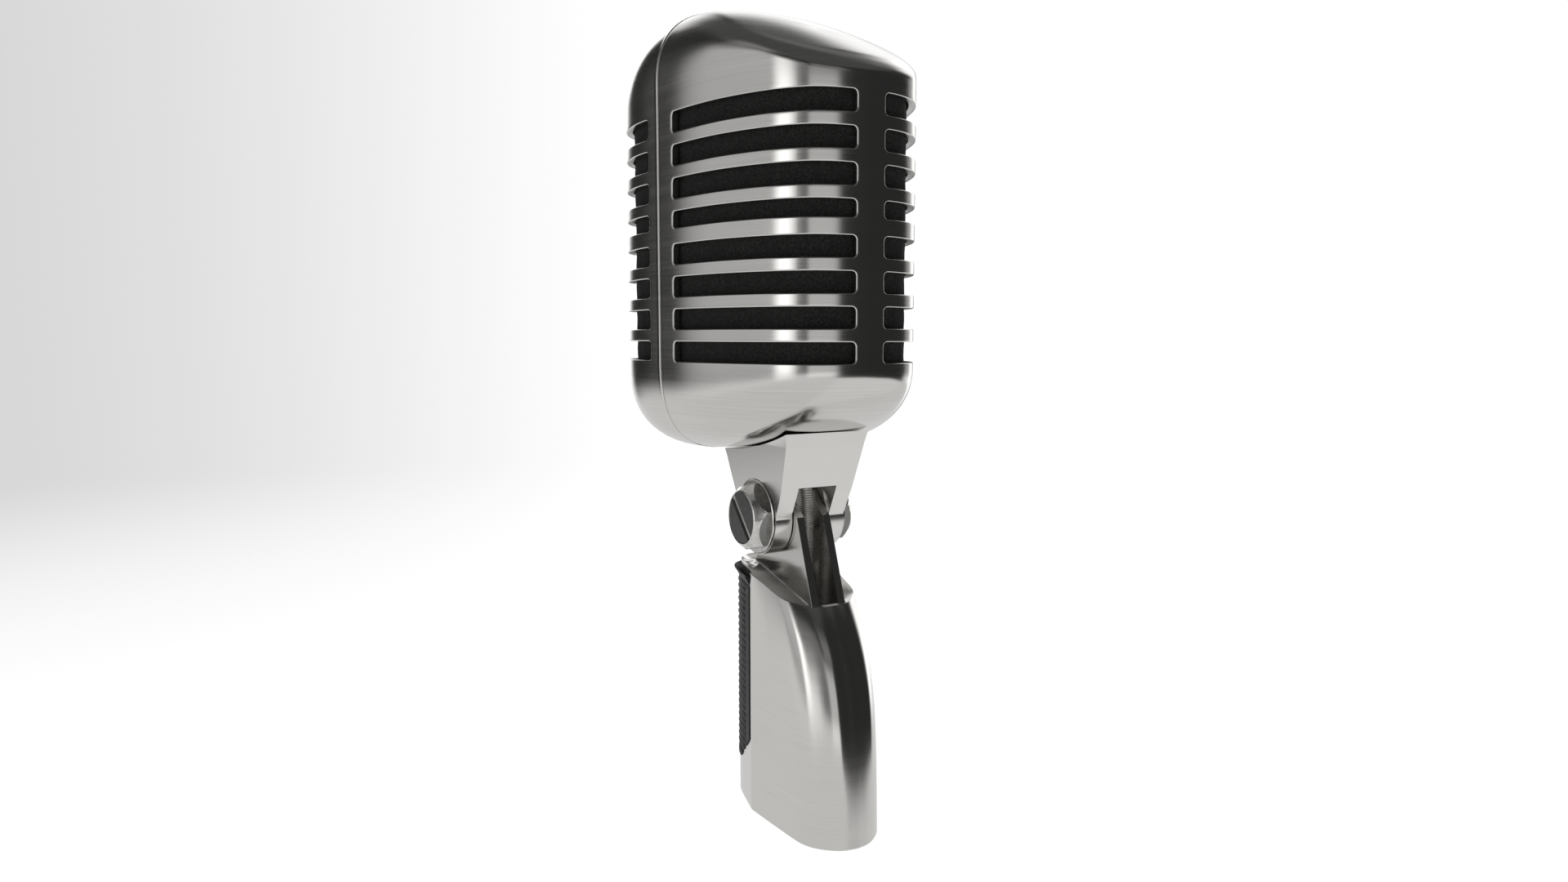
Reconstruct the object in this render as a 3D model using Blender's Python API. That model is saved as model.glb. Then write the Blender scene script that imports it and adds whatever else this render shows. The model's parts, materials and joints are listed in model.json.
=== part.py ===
"""Swivel-mount vocal microphone with a ribbon motor, built as an assembly.

Design coordinates are millimetres: +X to the right of the front, -Y to the front, +Z up.
The stand thread's mouth is the origin, so every shape is moved back by STAND_Y and scaled
to metres when its object is made.
"""
import math

import bmesh
import bpy
from mathutils import Matrix, Vector

MM = 0.001
GAP = 0.3                       # clearance between touching pieces
STAND_Y = 3.0                   # stand thread axis in design coordinates

# ---- swivel
PIVOT_Y, PIVOT_Z = 7.1, 69.3
EAR_R = 8.7                     # round end of each ear
EAR_IN, EAR_OUT = 4.95, 8.95    # inner face of an ear, and its spot face under the bolt
SLOT_TOP = 7.6                  # height of the clevis slot's roof above the pivot
TONGUE_X = 4.35
CHANNEL_X = 2.5
TONGUE_R = 7.0
WEB_R = 5.2                     # solid web that the pivot bolts screw into

# ---- head
CORE_Y = -5.5                   # seam plane, and middle of the cap and of the bottom
SHELL_T = 1.8
FOAM_GAP = 0.9                  # room between the shell and the foam behind it
SLOT_N = 8
SLOT_PITCH = 7.1
SLOT_Z = 158.85                 # top edge of the highest slot
SLOT_H = 4.4
SHORT_SLOT = 3                  # this slot, counted from the top, is lower than the rest
SHORT_SLOT_H = 3.6
SLOT_END_X = 3.4                # half width of the solid band between two slots
WALL_LOW = 103.5                # lower end of the straight wall
SHOULDER_LOW = 160.6            # the shoulder's curve starts no lower than this
REAR_OUTLINE = [(27.0, -5.5), (25.9, 4.4), (23.9, 14.5), (21.6, 21.5), (18.2, 28.8), (13.9, 34.5),
                (11.4, 36.4), (8.4, 37.7), (5.0, 38.5), (0.0, 39.0)]
FRONT_OUTLINE = [(27.0, -5.5), (27.8, -13.9), (27.5, -20.5), (26.0, -27.0), (22.6, -32.8),
                 (17.2, -36.6), (9.5, -38.7), (0.0, -39.2)]

SHELL_SCREW_Y = -24.0
CHASSIS_Z = 97.0                # underside of the chassis frame
MOTOR_LOW, MOTOR_HIGH = 113.0, 153.0

# ---- conduit through the swivel
CONDUIT_ROUTE = [(0, -0.9, 106), (0, -0.9, 98), (0, -0.9, 92), (0, 2.5, 86), (0, 10.5, 80.5),
                 (0, 13.9, 75.5), (0, 14.4, 70), (0, 14.3, 62), (0, 14.0, 56), (0, 13.4, 49),
                 (0, 13.0, 44)]
CONDUIT_R = 1.5

# ---- base
BASE_OUTLINE = [(0.0, 36.1), (3.0, 35.6), (5.7, 34.0), (8.2, 31.4), (9.6, 28.4), (10.1, 24.8),
                (10.7, 16.5), (11.2, 8.0), (8.6, -1.9), (6.3, -6.4), (3.5, -8.3), (0.0, -8.8)]
BASE_EDGE_Y = 8.0               # the upright edge between the sides and the front
BASE_NOSE = [(0.0, 36.1), (9.0, 35.8), (18.0, 35.3), (27.0, 34.5), (34.0, 33.3), (40.0, 31.2),
             (46.0, 28.3), (51.5, 24.6)]   # height, depth of the rear middle
BASE_WALL = 1.9
PLATE_END_Y = 7.5               # the front plate reaches this far back on both sides
PLATE_SEAT = 0.45               # depth of the seat that the plate lies in
PLATE_PROUD = 0.35              # how far the plate stands out of the base
PLATE_LOW, PLATE_HIGH = 9.5, 55.6
PLATE_SCREWS = [(0, 15.5), (0, 47.5)]
SOCKET_R = 8.6
XLR_Y = 22.3
XLR_R = 8.3


# ------------------------------------------------------------------ helpers
def clear_scene():
    for obj in list(bpy.data.objects):
        bpy.data.objects.remove(obj, do_unlink=True)


def material(name, colour, metallic, roughness):
    mat = bpy.data.materials.new(name)
    mat.use_nodes = True
    shader = mat.node_tree.nodes["Principled BSDF"]
    shader.inputs["Base Color"].default_value = (*colour, 1.0)
    shader.inputs["Metallic"].default_value = metallic
    shader.inputs["Roughness"].default_value = roughness
    return mat


def spline(points, per_span):
    """Catmull-Rom curve through the points, per_span steps on each span."""
    pts = [Vector(p) for p in points]
    pts = [2 * pts[0] - pts[1]] + pts + [2 * pts[-1] - pts[-2]]
    out = []
    for a, b, c, d in zip(pts, pts[1:], pts[2:], pts[3:]):
        for k in range(per_span):
            t = k / per_span
            out.append(0.5 * (2 * b + (c - a) * t + (2 * a - 5 * b + 4 * c - d) * t ** 2
                              + (3 * b - a - 3 * c + d) * t ** 3))
    return out + [pts[-2]]


def resample(points, count):
    """count points at even spacing along a polyline."""
    steps = [0.0]
    for a, b in zip(points, points[1:]):
        steps.append(steps[-1] + (b - a).length)
    out, k = [], 0
    for i in range(count):
        want = steps[-1] * i / (count - 1)
        while k < len(points) - 2 and steps[k + 1] < want:
            k += 1
        span = steps[k + 1] - steps[k]
        out.append(points[k].lerp(points[k + 1], (want - steps[k]) / span))
    return out


def lookup(table, key):
    """Straight-line lookup in a list of (key, value)."""
    for (k0, v0), (k1, v1) in zip(table, table[1:]):
        if key <= k1:
            return v0 + (v1 - v0) * (key - k0) / (k1 - k0)
    return table[-1][1]


def make(name, bm, mat, parent=None, smooth=30):
    """Turn a mesh in design millimetres into a node, with its origin on its parent's."""
    origin = parent.matrix_world.translation if parent else Vector((0, 0, 0))
    for vert in bm.verts:
        vert.co = (vert.co - Vector((0, STAND_Y, 0))) * MM - origin
    bmesh.ops.recalc_face_normals(bm, faces=bm.faces)
    mesh = bpy.data.meshes.new(name)
    bm.to_mesh(mesh)
    bm.free()
    mesh.materials.append(mat)
    mesh.shade_smooth()
    mesh.set_sharp_from_angle(angle=math.radians(smooth))
    obj = bpy.data.objects.new(name, mesh)
    bpy.context.collection.objects.link(obj)
    obj.parent = parent
    return obj


def axis_empty(name, point):
    """An empty on a joint's axis, at a point in design millimetres."""
    obj = bpy.data.objects.new(name, None)
    obj.location = (Vector(point) - Vector((0, STAND_Y, 0))) * MM
    bpy.context.collection.objects.link(obj)
    bpy.context.view_layer.update()
    return obj


def cut(obj, bm, operation="DIFFERENCE"):
    """Cut a shape in design millimetres out of an object, or join it on."""
    tool = make(obj.name + "_tool", bm, obj.data.materials[0])
    tool.hide_render = True
    tool.display_type = "WIRE"
    mod = obj.modifiers.new("bool", "BOOLEAN")
    mod.operation = operation
    mod.object = tool
    return obj


def loft(rings, bm=None, curved_top=False):
    """Closed solid through rings of points, with flat ends.

    A curved top is closed with strips across X: its ring starts in the middle plane and is
    its own mirror image, so point i faces point -i.
    """
    bm = bm or bmesh.new()
    rows = [[bm.verts.new(p) for p in ring] for ring in rings]
    for low, high in zip(rows, rows[1:]):
        for i in range(len(low)):
            j = (i + 1) % len(low)
            bm.faces.new((low[i], low[j], high[j], high[i]))
    bm.faces.new(reversed(rows[0]))
    top = rows[-1]
    if not curved_top:
        bm.faces.new(top)
        return bm
    for i in range(len(top) // 2):
        strip = [top[i], top[i + 1], top[-i - 1], top[-i]]
        corners = []
        for vert in strip:
            if vert not in corners:
                corners.append(vert)
        bm.faces.new(corners)
    return bm


def box(x0, x1, y0, y1, z0, z1, bm=None):
    corners = [(x0, y0), (x1, y0), (x1, y1), (x0, y1)]
    return loft([[(x, y, z) for x, y in corners] for z in (z0, z1)], bm)


def both_sides(x0, x1, y0, y1, z0, z1, bm=None):
    bm = box(x0, x1, y0, y1, z0, z1, bm)
    return box(-x1, -x0, y0, y1, z0, z1, bm)


def circle(radius, count, turn=0.0):
    return [(radius * math.cos(turn + math.tau * i / count), radius * math.sin(turn + math.tau * i / count))
            for i in range(count)]


def lathe(profile, centre, axis="Z", count=24, bm=None):
    """Turned solid: profile is (radius, distance along the axis) pairs, from one end to the other."""
    rings = []
    for radius, along in profile:
        ring = []
        for u, v in circle(max(radius, 0.02), count):
            offset = {"Z": (u, v, along), "X": (along, u, v), "Y": (v, along, u)}[axis]
            ring.append(Vector(centre) + Vector(offset))
        rings.append(ring)
    return loft(rings, bm)


def ring_solid(profile, centre, axis="Z", count=24, bm=None):
    """Turned solid with a hole: profile is a closed outline of (radius, distance) pairs."""
    bm = bm or bmesh.new()
    rows = []
    for radius, along in profile:
        row = []
        for u, v in circle(radius, count):
            offset = {"Z": (u, v, along), "X": (along, u, v), "Y": (v, along, u)}[axis]
            row.append(bm.verts.new(Vector(centre) + Vector(offset)))
        rows.append(row)
    for low, high in zip(rows, rows[1:] + rows[:1]):
        for i in range(count):
            j = (i + 1) % count
            bm.faces.new((low[i], low[j], high[j], high[i]))
    return bm


def plate_x(outline, x0, x1, bm=None):
    """Solid between two planes across X, from an outline of (y, z) points."""
    return loft([[(x, y, z) for y, z in outline] for x in (x0, x1)], bm)


def screw(centre, radius, length, axis="Z", turn=1, head=1.8, height=1.2):
    """Pan-head screw whose shank runs from centre against the turn direction."""
    profile = [(radius, -length), (radius, 0), (radius * head, 0), (radius * head, height * 0.6),
               (radius * head * 0.7, height)]
    profile = [(r, a * turn) for r, a in profile]
    return lathe(profile, centre, axis, 12)


# ------------------------------------------------------------------ head surfaces
def cap_height(x, y):
    """Height of the head's top: falls to the rear, rounds over to the front and the sides."""
    back = max(y + 8.0, 0.0) / 46.5
    front = max(-8.0 - y, 0.0) / 31.0
    soft = 0.35
    fall = 19.6 * (math.hypot(back, soft) - soft) / (math.hypot(1.0, soft) - soft)
    return 184.3 - fall - 12.5 * front ** 2 - 0.006 * x * x


def floor_height(x, y):
    """Height of the head's underside."""
    return 83.9 + 0.0047 * (y + 12.0) ** 2 + 0.0017 * x * x


def blend_factor(y):
    """0 on the rear wall, 1 from the seam forward."""
    return min(max((30.0 - y) / 34.0, 0.0), 1.0)


def cap_share(y):
    """Ray fraction where the shoulder ends and the cap begins."""
    return 1.0 - (0.13 + 0.33 * blend_factor(y))


def floor_share(y):
    """Ray fraction where the hip ends and the underside begins."""
    return 1.0 - (0.34 + 0.16 * blend_factor(y))


def head_point(px, py, station, inset):
    """Point of the head's skin on the ray from its middle through outline point (px, py).

    Stations: ("cap", share), ("shoulder", s), ("wall", z), ("hip", s), ("floor", share).
    """
    reach = math.hypot(px, py - CORE_Y)
    wall = 1.0 - inset / reach
    kind, value = station

    def at(t):
        return px * t, CORE_Y + (py - CORE_Y) * t

    def cap(t):
        return cap_height(*at(t)) - inset

    def floor(t):
        return floor_height(*at(t)) + inset

    if kind == "wall":
        return (*at(wall), value)
    if kind == "cap":
        t = value * cap_share(py) * wall
        return (*at(t), cap(t))
    if kind == "floor":
        t = value * floor_share(py) * wall
        return (*at(t), floor(t))
    if kind == "shoulder":
        inner = cap_share(py)
        corner = cap(wall)
        low = max(cap(wall) - (2.6 + 11.0 * blend_factor(py)), SHOULDER_LOW)
        end = cap(inner * wall)
    else:
        inner = floor_share(py)
        corner, low = floor(wall), WALL_LOW
        end = floor(inner * wall)
    a, b, c = (1 - value) ** 2, 2 * value * (1 - value), value ** 2
    t = wall * (a + b + c * inner)
    return (*at(t), a * low + b * corner + c * end)


def half_shell(outline, slot_y, bottom_share):
    """One closed half of the head: a skin with a slotted wall, open along the seam.

    The slots run from slot_y to SLOT_END_X; bottom_share lists the rows of the underside.
    """
    columns = 10
    fine = spline([(x, y, 0) for x, y in outline], 8)
    start, stop = slot_y, SLOT_END_X
    cut_a = min(range(len(fine)), key=lambda i: abs(fine[i].y - start))
    cut_b = min(range(len(fine)), key=lambda i: abs(fine[i].x - stop))
    fine[cut_b].x = stop
    part_a = resample(fine[:cut_a + 1], 3)
    part_b = resample(fine[cut_a:cut_b + 1], columns + 1)
    part_c = resample(fine[cut_b:], 2)
    side = part_a + part_b[1:] + part_c[1:]
    plan = [(p.x, p.y) for p in side] + [(-p.x, p.y) for p in reversed(side[:-1])]
    first, last = 2, 2 + columns
    slot_columns = set(range(first, last)) | {len(plan) - 2 - i for i in range(first, last)}

    tops = [SLOT_Z - SLOT_PITCH * k for k in range(SLOT_N)]
    depths = [SHORT_SLOT_H if k == SHORT_SLOT else SLOT_H for k in range(SLOT_N)]
    stations = [("floor", t) for t in bottom_share]
    stations += [("hip", s) for s in (1.0, 0.66, 0.33, 0.0)]
    slot_rows = set()
    for top, depth in reversed(list(zip(tops, depths))):
        slot_rows.add(len(stations))
        stations += [("wall", top - depth), ("wall", top)]
    stations += [("shoulder", s) for s in (0.0, 0.3, 0.6, 1.0)]
    stations += [("cap", t) for t in (0.72, 0.42, 0.18)]

    bm = bmesh.new()
    layers = []
    for depth in (0.0, SHELL_T):
        rows = []
        for station in stations:
            rows.append([bm.verts.new(head_point(px, py, station, depth)) for px, py in plan])
        apex = bm.verts.new((0, CORE_Y, cap_height(0, CORE_Y) - depth))
        nadir = None
        if bottom_share[0] < 0.2:
            nadir = bm.verts.new((0, CORE_Y, floor_height(0, CORE_Y) + depth))
        layers.append((rows, apex, nadir))

    count = len(plan)
    kept = set()
    for j in range(len(stations) - 1):
        for i in range(count - 1):
            if not (j in slot_rows and i in slot_columns):
                kept.add((i, j))
    for rows, apex, nadir in layers:
        for i, j in kept:
            bm.faces.new((rows[j][i], rows[j][i + 1], rows[j + 1][i + 1], rows[j + 1][i]))
        for i in range(count - 1):
            bm.faces.new((rows[-1][i], rows[-1][i + 1], apex))
            if nadir:
                bm.faces.new((rows[0][i + 1], rows[0][i], nadir))
    (out, apex0, nadir0), (inn, apex1, nadir1) = layers

    def rim(a, b):
        (i0, j0), (i1, j1) = a, b
        bm.faces.new((out[j0][i0], out[j1][i1], inn[j1][i1], inn[j0][i0]))

    for i in range(-1, count):
        for j in range(len(stations) - 1):
            if i + 1 < count and ((i, j) in kept) != ((i + 1, j) in kept):
                rim((i + 1, j), (i + 1, j + 1))
    for i in range(count - 1):
        for j in range(1, len(stations) - 1):
            if ((i, j) in kept) != ((i, j - 1) in kept):
                rim((i, j), (i + 1, j))
    for i in (0, count - 1):
        bm.faces.new((out[-1][i], apex0, apex1, inn[-1][i]))
        if nadir0:
            bm.faces.new((out[0][i], nadir0, nadir1, inn[0][i]))
    if not nadir0:
        for i in range(count - 1):
            rim((i, 0), (i + 1, 0))
    return bm


def shift(bm, dy):
    for vert in bm.verts:
        vert.co.y += dy
    return bm


# ------------------------------------------------------------------ head pieces
def head_shells(metal, foam, pivot):
    rear = half_shell(REAR_OUTLINE, 0.4, (0.5, 0.75))
    make("rear_shell", shift(rear, GAP / 2), metal, pivot)
    front = half_shell(FRONT_OUTLINE, -9.8, (0.15, 0.4, 0.7))
    front = make("front_shell", shift(front, -GAP / 2), metal, pivot)
    cut(front, lathe([(1.9, 78), (1.9, 92)], (0, SHELL_SCREW_Y, 0), "Z", 16))
    for name, outline, dy in (("rear_foam", REAR_OUTLINE, GAP), ("front_foam", FRONT_OUTLINE, -GAP)):
        make(name, shift(foam_liner(outline), dy), foam, pivot)


def foam_liner(outline):
    """Open half-sleeve of foam just inside the slotted wall."""
    plan = resample(spline([(x, y, 0) for x, y in outline], 6), 12)
    plan = [(p.x, p.y) for p in plan] + [(-p.x, p.y) for p in reversed(plan[:-1])]
    rings = []
    for z in (101.5, 161.0):
        skins = []
        for depth in (SHELL_T + FOAM_GAP, SHELL_T + FOAM_GAP + 2.0):
            ring = []
            for px, py in plan:
                t = 1.0 - depth / math.hypot(px, py - CORE_Y) * 1.04
                ring.append((px * t, CORE_Y + (py - CORE_Y) * t, z))
            skins.append(ring)
        rings.append(skins[0] + skins[1][::-1])
    return loft(rings)


def chassis(steel, pivot):
    """Ring frame that the neck bolts to and the motor hangs in, with a foot for the shell screw."""
    frame = make("head_chassis", box(-19, 19, -4.5, 4.5, CHASSIS_Z, 168), steel, pivot)
    cut(frame, box(-16, 16, -6, 6, CHASSIS_Z + 3.4, 164.6))
    cut(frame, box(-7, 7, -29, -4, CHASSIS_Z, CHASSIS_Z + 2.4), "UNION")
    cut(frame, box(-8, 8, 4, 15, CHASSIS_Z, CHASSIS_Z + 2.4), "UNION")
    holes = lathe([(2.4, 90), (2.4, 104)], (0, -0.9, 0), "Z", 16)
    for x in (-4.1, 4.1):
        lathe([(1.0, 90), (1.0, 104)], (x, -0.9, 0), "Z", 12, holes)
    lathe([(1.3, 90), (1.3, 104)], (0, SHELL_SCREW_Y, 0), "Z", 12, holes)
    cut(frame, holes)


def motor(mats, pivot):
    """Ribbon motor: two bar magnets, tapered poles, yokes, ribbon, clamps and blast screens."""
    low, high = MOTOR_LOW, MOTOR_HIGH
    for side, name in ((1, "left"), (-1, "right")):
        x0, x1 = sorted((side * 8.6, side * 13.4))
        make("magnet_" + name, box(x0, x1, -5, 5, low, high), mats["magnet"], pivot)
        pole = [(side * 8.3, -5.0), (side * 8.3, 5.0), (side * 2.7, 1.3), (side * 2.7, -1.3)]
        rings = [[(x, y, z) for x, y in pole] for z in (low, high)]
        make("pole_" + name, loft(rings), mats["steel"], pivot)
    for name, z0, z1 in (("yoke_bottom", low - 4.3, low - GAP), ("yoke_top", high + GAP, high + 4.3)):
        make(name, box(-13.4, 13.4, -5, 5, z0, z1), mats["steel"], pivot)
    for name, z0, outward in (("ribbon_clamp_bottom", low, -1), ("ribbon_clamp_top", high - 3.0, 1)):
        clamp = make(name, box(-2.3, 2.3, -2.6, 2.6, z0, z0 + 3.0), mats["board"], pivot)
        slit = z0 - 0.8 * outward
        cut(clamp, box(-3, 3, -0.35, 0.35, slit - 0.2, slit + 3.2))
    folds = 38
    front, back = [], []
    for k in range(folds + 1):
        z = low + 1.0 + (high - low - 2.0) * k / folds
        clamped = z < low + 3.4 or z > high - 3.4
        y = 0.0 if clamped else 0.45 * (1 if k % 2 else -1)
        front.append((y - 0.05, z))
        back.append((y + 0.05, z))
    make("ribbon", plate_x(front + back[::-1], -2.2, 2.2), mats["foil"], pivot)
    for name, z in (("clamp_screw_bottom", low + 1.6), ("clamp_screw_top", high - 1.6)):
        make(name, lathe([(1.0, -2.9), (1.0, -4.0)], (0, 0, z), "Y", 12), mats["steel"], pivot)
    for name, y0, y1 in (("motor_screen_front", -6.1, -5.3), ("motor_screen_rear", 5.3, 6.1)):
        screen = make(name, box(-8, 8, y0, y1, low + 0.5, high - 0.5), mats["steel"], pivot)
        slots = bmesh.new()
        for k in range(6):
            z = low + 3.5 + 5.9 * k
            box(-6, 6, y0 - 1, y1 + 1, z, z + 3.6, slots)
        cut(screen, slots)
    for side, x in (("left", 9.5), ("right", -9.5)):
        for level, z0, z1 in (("bottom", CHASSIS_Z + 3.7, low - 4.6), ("top", high + 4.6, 164.3)):
            post = lathe([(2.0, z0), (1.5, (z0 + z1) / 2), (2.0, z1)], (x, 0, 0), "Z", 12)
            make("shock_mount_" + level + "_" + side, post, mats["rubber"], pivot)


def transformer(mats, pivot):
    """Output transformer behind the motor, on an angle bracket screwed to the chassis."""
    top = CHASSIS_Z + 2.4 + GAP
    bracket = [(6.6, top), (14.0, top), (14.0, top + 1.2), (7.8, top + 1.2), (7.8, 126.0), (6.6, 126.0)]
    make("transformer_bracket", plate_x([(y + 1.0, z) for y, z in bracket], -7, 7), mats["steel"], pivot)
    core = make("transformer_core", box(-8, 8, 12, 20, 101.2, 123.0), mats["core"], pivot)
    cut(core, both_sides(2.2, 5.8, 8, 24, 105.0, 119.5))
    coil = make("transformer_winding", box(-5.5, 5.5, 9.4, 22.6, 105.3, 119.2), mats["copper"], pivot)
    cut(coil, box(-2.5, 2.5, 11.7, 20.3, 104, 121))


def neck(mats, pivot):
    """Clevis block: flared top that follows the head's underside, two round-ended ears."""
    front = [(-6.3, 82.0), (-5.2, 79.0)]
    back = [(18.6, 76.0), (20.9, 82.5), (22.1, 86.0)]
    arc = []
    for k in range(17):
        a = math.radians(174 + (365 - 174) * k / 16)
        arc.append((PIVOT_Y + EAR_R * math.cos(a), PIVOT_Z + EAR_R * math.sin(a)))
    top = []
    for k in range(9):
        y = 23.1 + (-7.2 - 23.1) * k / 8
        top.append((y, floor_height(0, y) - GAP - 0.15))
    block = make("neck_block", plate_x(front + arc + back + top, -14, 14), mats["metal"], pivot)
    right = [(10.9, 91.0), (10.1, 86.5), (9.6, 80.0), (9.15, 74.0)]
    right += [(EAR_OUT + 0.1, z) for z in (69.0, 55.0)]
    taper = right + [(-x, z) for x, z in reversed(right)]
    cut(block, loft([[(x, y, z) for x, z in taper] for y in (-15, 30)]), "INTERSECT")
    cut(block, box(-EAR_IN, EAR_IN, -12, 28, 50, PIVOT_Z + SLOT_TOP))
    cut(block, box(-5.2, 5.2, -4.6, 2.8, 82, CHASSIS_Z - GAP), "UNION")
    bores = lathe([(2.85, -15), (2.85, 15)], (0, PIVOT_Y, PIVOT_Z), "X", 24)
    for x in (-4.1, 4.1):
        lathe([(0.75, 90), (0.75, 104)], (x, -0.9, 0), "Z", 12, bores)
    for side in (-1, 1):
        cut(block, lathe([(8.8, side * EAR_OUT), (8.8, side * 13)], (0, PIVOT_Y, PIVOT_Z), "X", 36))
    cut(block, bores)
    cut(block, tube_solid(CONDUIT_ROUTE[1:7], CONDUIT_R + 0.7, 12))


def tube_solid(route, radius, sides):
    """Round tube along a smooth route in the YZ plane."""
    path = resample(spline(route, 6), 6 * (len(route) - 1) // 2)
    rings = []
    for k, spot in enumerate(path):
        ahead = (path[min(k + 1, len(path) - 1)] - path[max(k - 1, 0)]).normalized()
        side = Vector((1, 0, 0))
        up = ahead.cross(side)
        rings.append([spot + side * u + up * v for u, v in circle(radius, sides)])
    return loft(rings)


def conduit(mats):
    """Flexible conduit for the leads, from the head through the swivel into the base."""
    curve = bpy.data.curves.new("conduit", "CURVE")
    curve.dimensions = "3D"
    curve.bevel_depth = CONDUIT_R * MM
    curve.bevel_resolution = 2
    curve.use_fill_caps = True
    path = resample(spline(CONDUIT_ROUTE, 6), 20)
    line = curve.splines.new("POLY")
    line.points.add(len(path) - 1)
    for point, spot in zip(line.points, path):
        point.co = (*((spot - Vector((0, STAND_Y, 0))) * MM), 1.0)
    curve.materials.append(mats["conduit"])
    obj = bpy.data.objects.new("conduit", curve)
    bpy.context.collection.objects.link(obj)


def head_fasteners(mats, pivot):
    for side, x in (("left", 4.1), ("right", -4.1)):
        shape = screw((x, -0.9, CHASSIS_Z + 3.7), 0.6, 8.0, head=1.9, height=0.9)
        make("neck_screw_" + side, shape, mats["dark"], pivot)
    low = floor_height(0, SHELL_SCREW_Y)
    shape = screw((0, SHELL_SCREW_Y, low + GAP), 1.1, 15.0, turn=-1, head=1.55, height=0.9)
    make("shell_screw", shape, mats["dark"], pivot)


# ------------------------------------------------------------------ swivel pieces
def pivot_bolt(name, side, mats):
    """Large slotted bolt: a round flange, six flats cut by a cone, a flat slotted face, and a shank."""
    empty = axis_empty(name + "_axis", (side * 11, PIVOT_Y, PIVOT_Z))
    head = lathe([(8.4, EAR_OUT + GAP), (8.4, 10.0), (6.05, 13.2)], (0, 0, 0), "X", 36)
    for vert in head.verts:
        vert.co = Vector((vert.co.x * side, vert.co.y + PIVOT_Y, vert.co.z + PIVOT_Z))
    bolt = make(name, head, mats["metal"], empty)
    flats = bmesh.new()
    for k in range(6):
        prism = box(7.1, 12, -8, 8, 9.95, 15.0)
        turn = Matrix.Rotation(math.radians(60 * k + 15), 4, "Z")
        for vert in prism.verts:
            spot = turn @ vert.co
            vert.co = (spot.z * side, spot.x + PIVOT_Y, spot.y + PIVOT_Z)
        block = bpy.data.meshes.new("flat")
        prism.to_mesh(block)
        prism.free()
        flats.from_mesh(block)
    cut(bolt, flats)
    slot = box(-8, 8, -0.75, 0.75, 12.3, 14.5)
    turn = Matrix.Rotation(math.radians(-47), 4, "Z")
    for vert in slot.verts:
        spot = turn @ vert.co
        vert.co = (spot.z * side, spot.x + PIVOT_Y, spot.y + PIVOT_Z)
    cut(bolt, slot)
    cut(bolt, lathe([(2.4, side * 1.0), (2.4, side * 9.4)], (0, PIVOT_Y, PIVOT_Z), "X", 24), "UNION")


def washers(mats):
    for name, side in (("friction_washer_left", 1), ("friction_washer_right", -1)):
        a, b = side * (TONGUE_X + 0.12), side * (EAR_IN - 0.12)
        ring = ring_solid([(2.9, a), (6.4, a), (6.4, b), (2.9, b)], (0, PIVOT_Y, PIVOT_Z), "X", 24)
        make(name, ring, mats["fibre"])


# ------------------------------------------------------------------ base pieces
def base_half(z, inset, steps):
    """Right-hand half outline of the base at a height, from the rear middle to the front middle."""
    nose = lookup(BASE_NOSE, z)
    edge = BASE_EDGE_Y
    out = []
    for x, y in BASE_OUTLINE:
        if y > edge:
            y = edge + (y - edge) * (nose - edge) / (BASE_OUTLINE[0][1] - edge)
            if z > 30:
                x = x * (1.0 - 0.04 * (z - 30) / 22)
        out.append((x, y, 0))
    pts = resample(spline(out, 4), steps)
    if not inset:
        return [(p.x, p.y) for p in pts]
    shrunk = []
    for k, p in enumerate(pts):
        ahead = (pts[min(k + 1, steps - 1)] - pts[max(k - 1, 0)]).normalized()
        normal = Vector((ahead.y, -ahead.x, 0))
        q = p + normal * inset
        shrunk.append((max(q.x, 0.0), q.y))
    shrunk[0] = (0.0, pts[0].y - inset)
    shrunk[-1] = (0.0, pts[-1].y + inset)
    return shrunk


def base_ring(z, inset=0.0, steps=19):
    half = base_half(z, inset, steps)
    return [(x, y, z) for x, y in half + [(-x, y) for x, y in half[-2:0:-1]]]


def rim_height(y):
    """Top edge of the base: low at the rear, rising to the front lip."""
    return 51.3 + 6.4 * min(max((24.5 - y) / 21.5, 0.0), 1.0)


def base(mats):
    """Hollow cast base with the channelled swivel tongue on top."""
    heights = (0, 0.6, 8, 16, 24, 31, 37, 42, 46.5)
    rings = [base_ring(z, 0.5 if z == 0 else 0.0) for z in heights]
    top = [(x, y, rim_height(y)) for x, y, _ in base_ring(51.5)]
    dished = []
    for x, y, z in top:
        dished.append((x * 0.8, y if y < 18 else 18 + (y - 18) * 0.8, z - 1.0))
    body = make("base_casting", loft(rings + [top, dished], curved_top=True), mats["metal"])
    hollow = [base_ring(z, BASE_WALL, 13) for z in (14.0, 22, 30, 38, 44)]
    cut(body, loft(hollow))
    cut(body, plate_x(tongue_outline(), -TONGUE_X, TONGUE_X), "UNION")
    cut(body, channel())
    socket = SOCKET_R + 0.15
    cut(body, lathe([(socket, -2), (socket, 13.0), (6.5, 13.0), (6.5, 16)], (0, STAND_Y, 0), "Z", 32))
    cut(body, lathe([(XLR_R + 0.15, -2), (XLR_R + 0.15, 20)], (0, XLR_Y, 0), "Z", 32))
    cut(body, lathe([(2.75, -8), (2.75, 8)], (0, PIVOT_Y, PIVOT_Z), "X", 24))
    cut(body, box(-5.0, 5.0, -12, -4, 20, 42))
    cut(body, plate_screw_holes(0.95))
    cut(body, plate_band(-PLATE_SEAT - 0.1, 4.0, PLATE_LOW - 0.2, 62.0))


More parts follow.
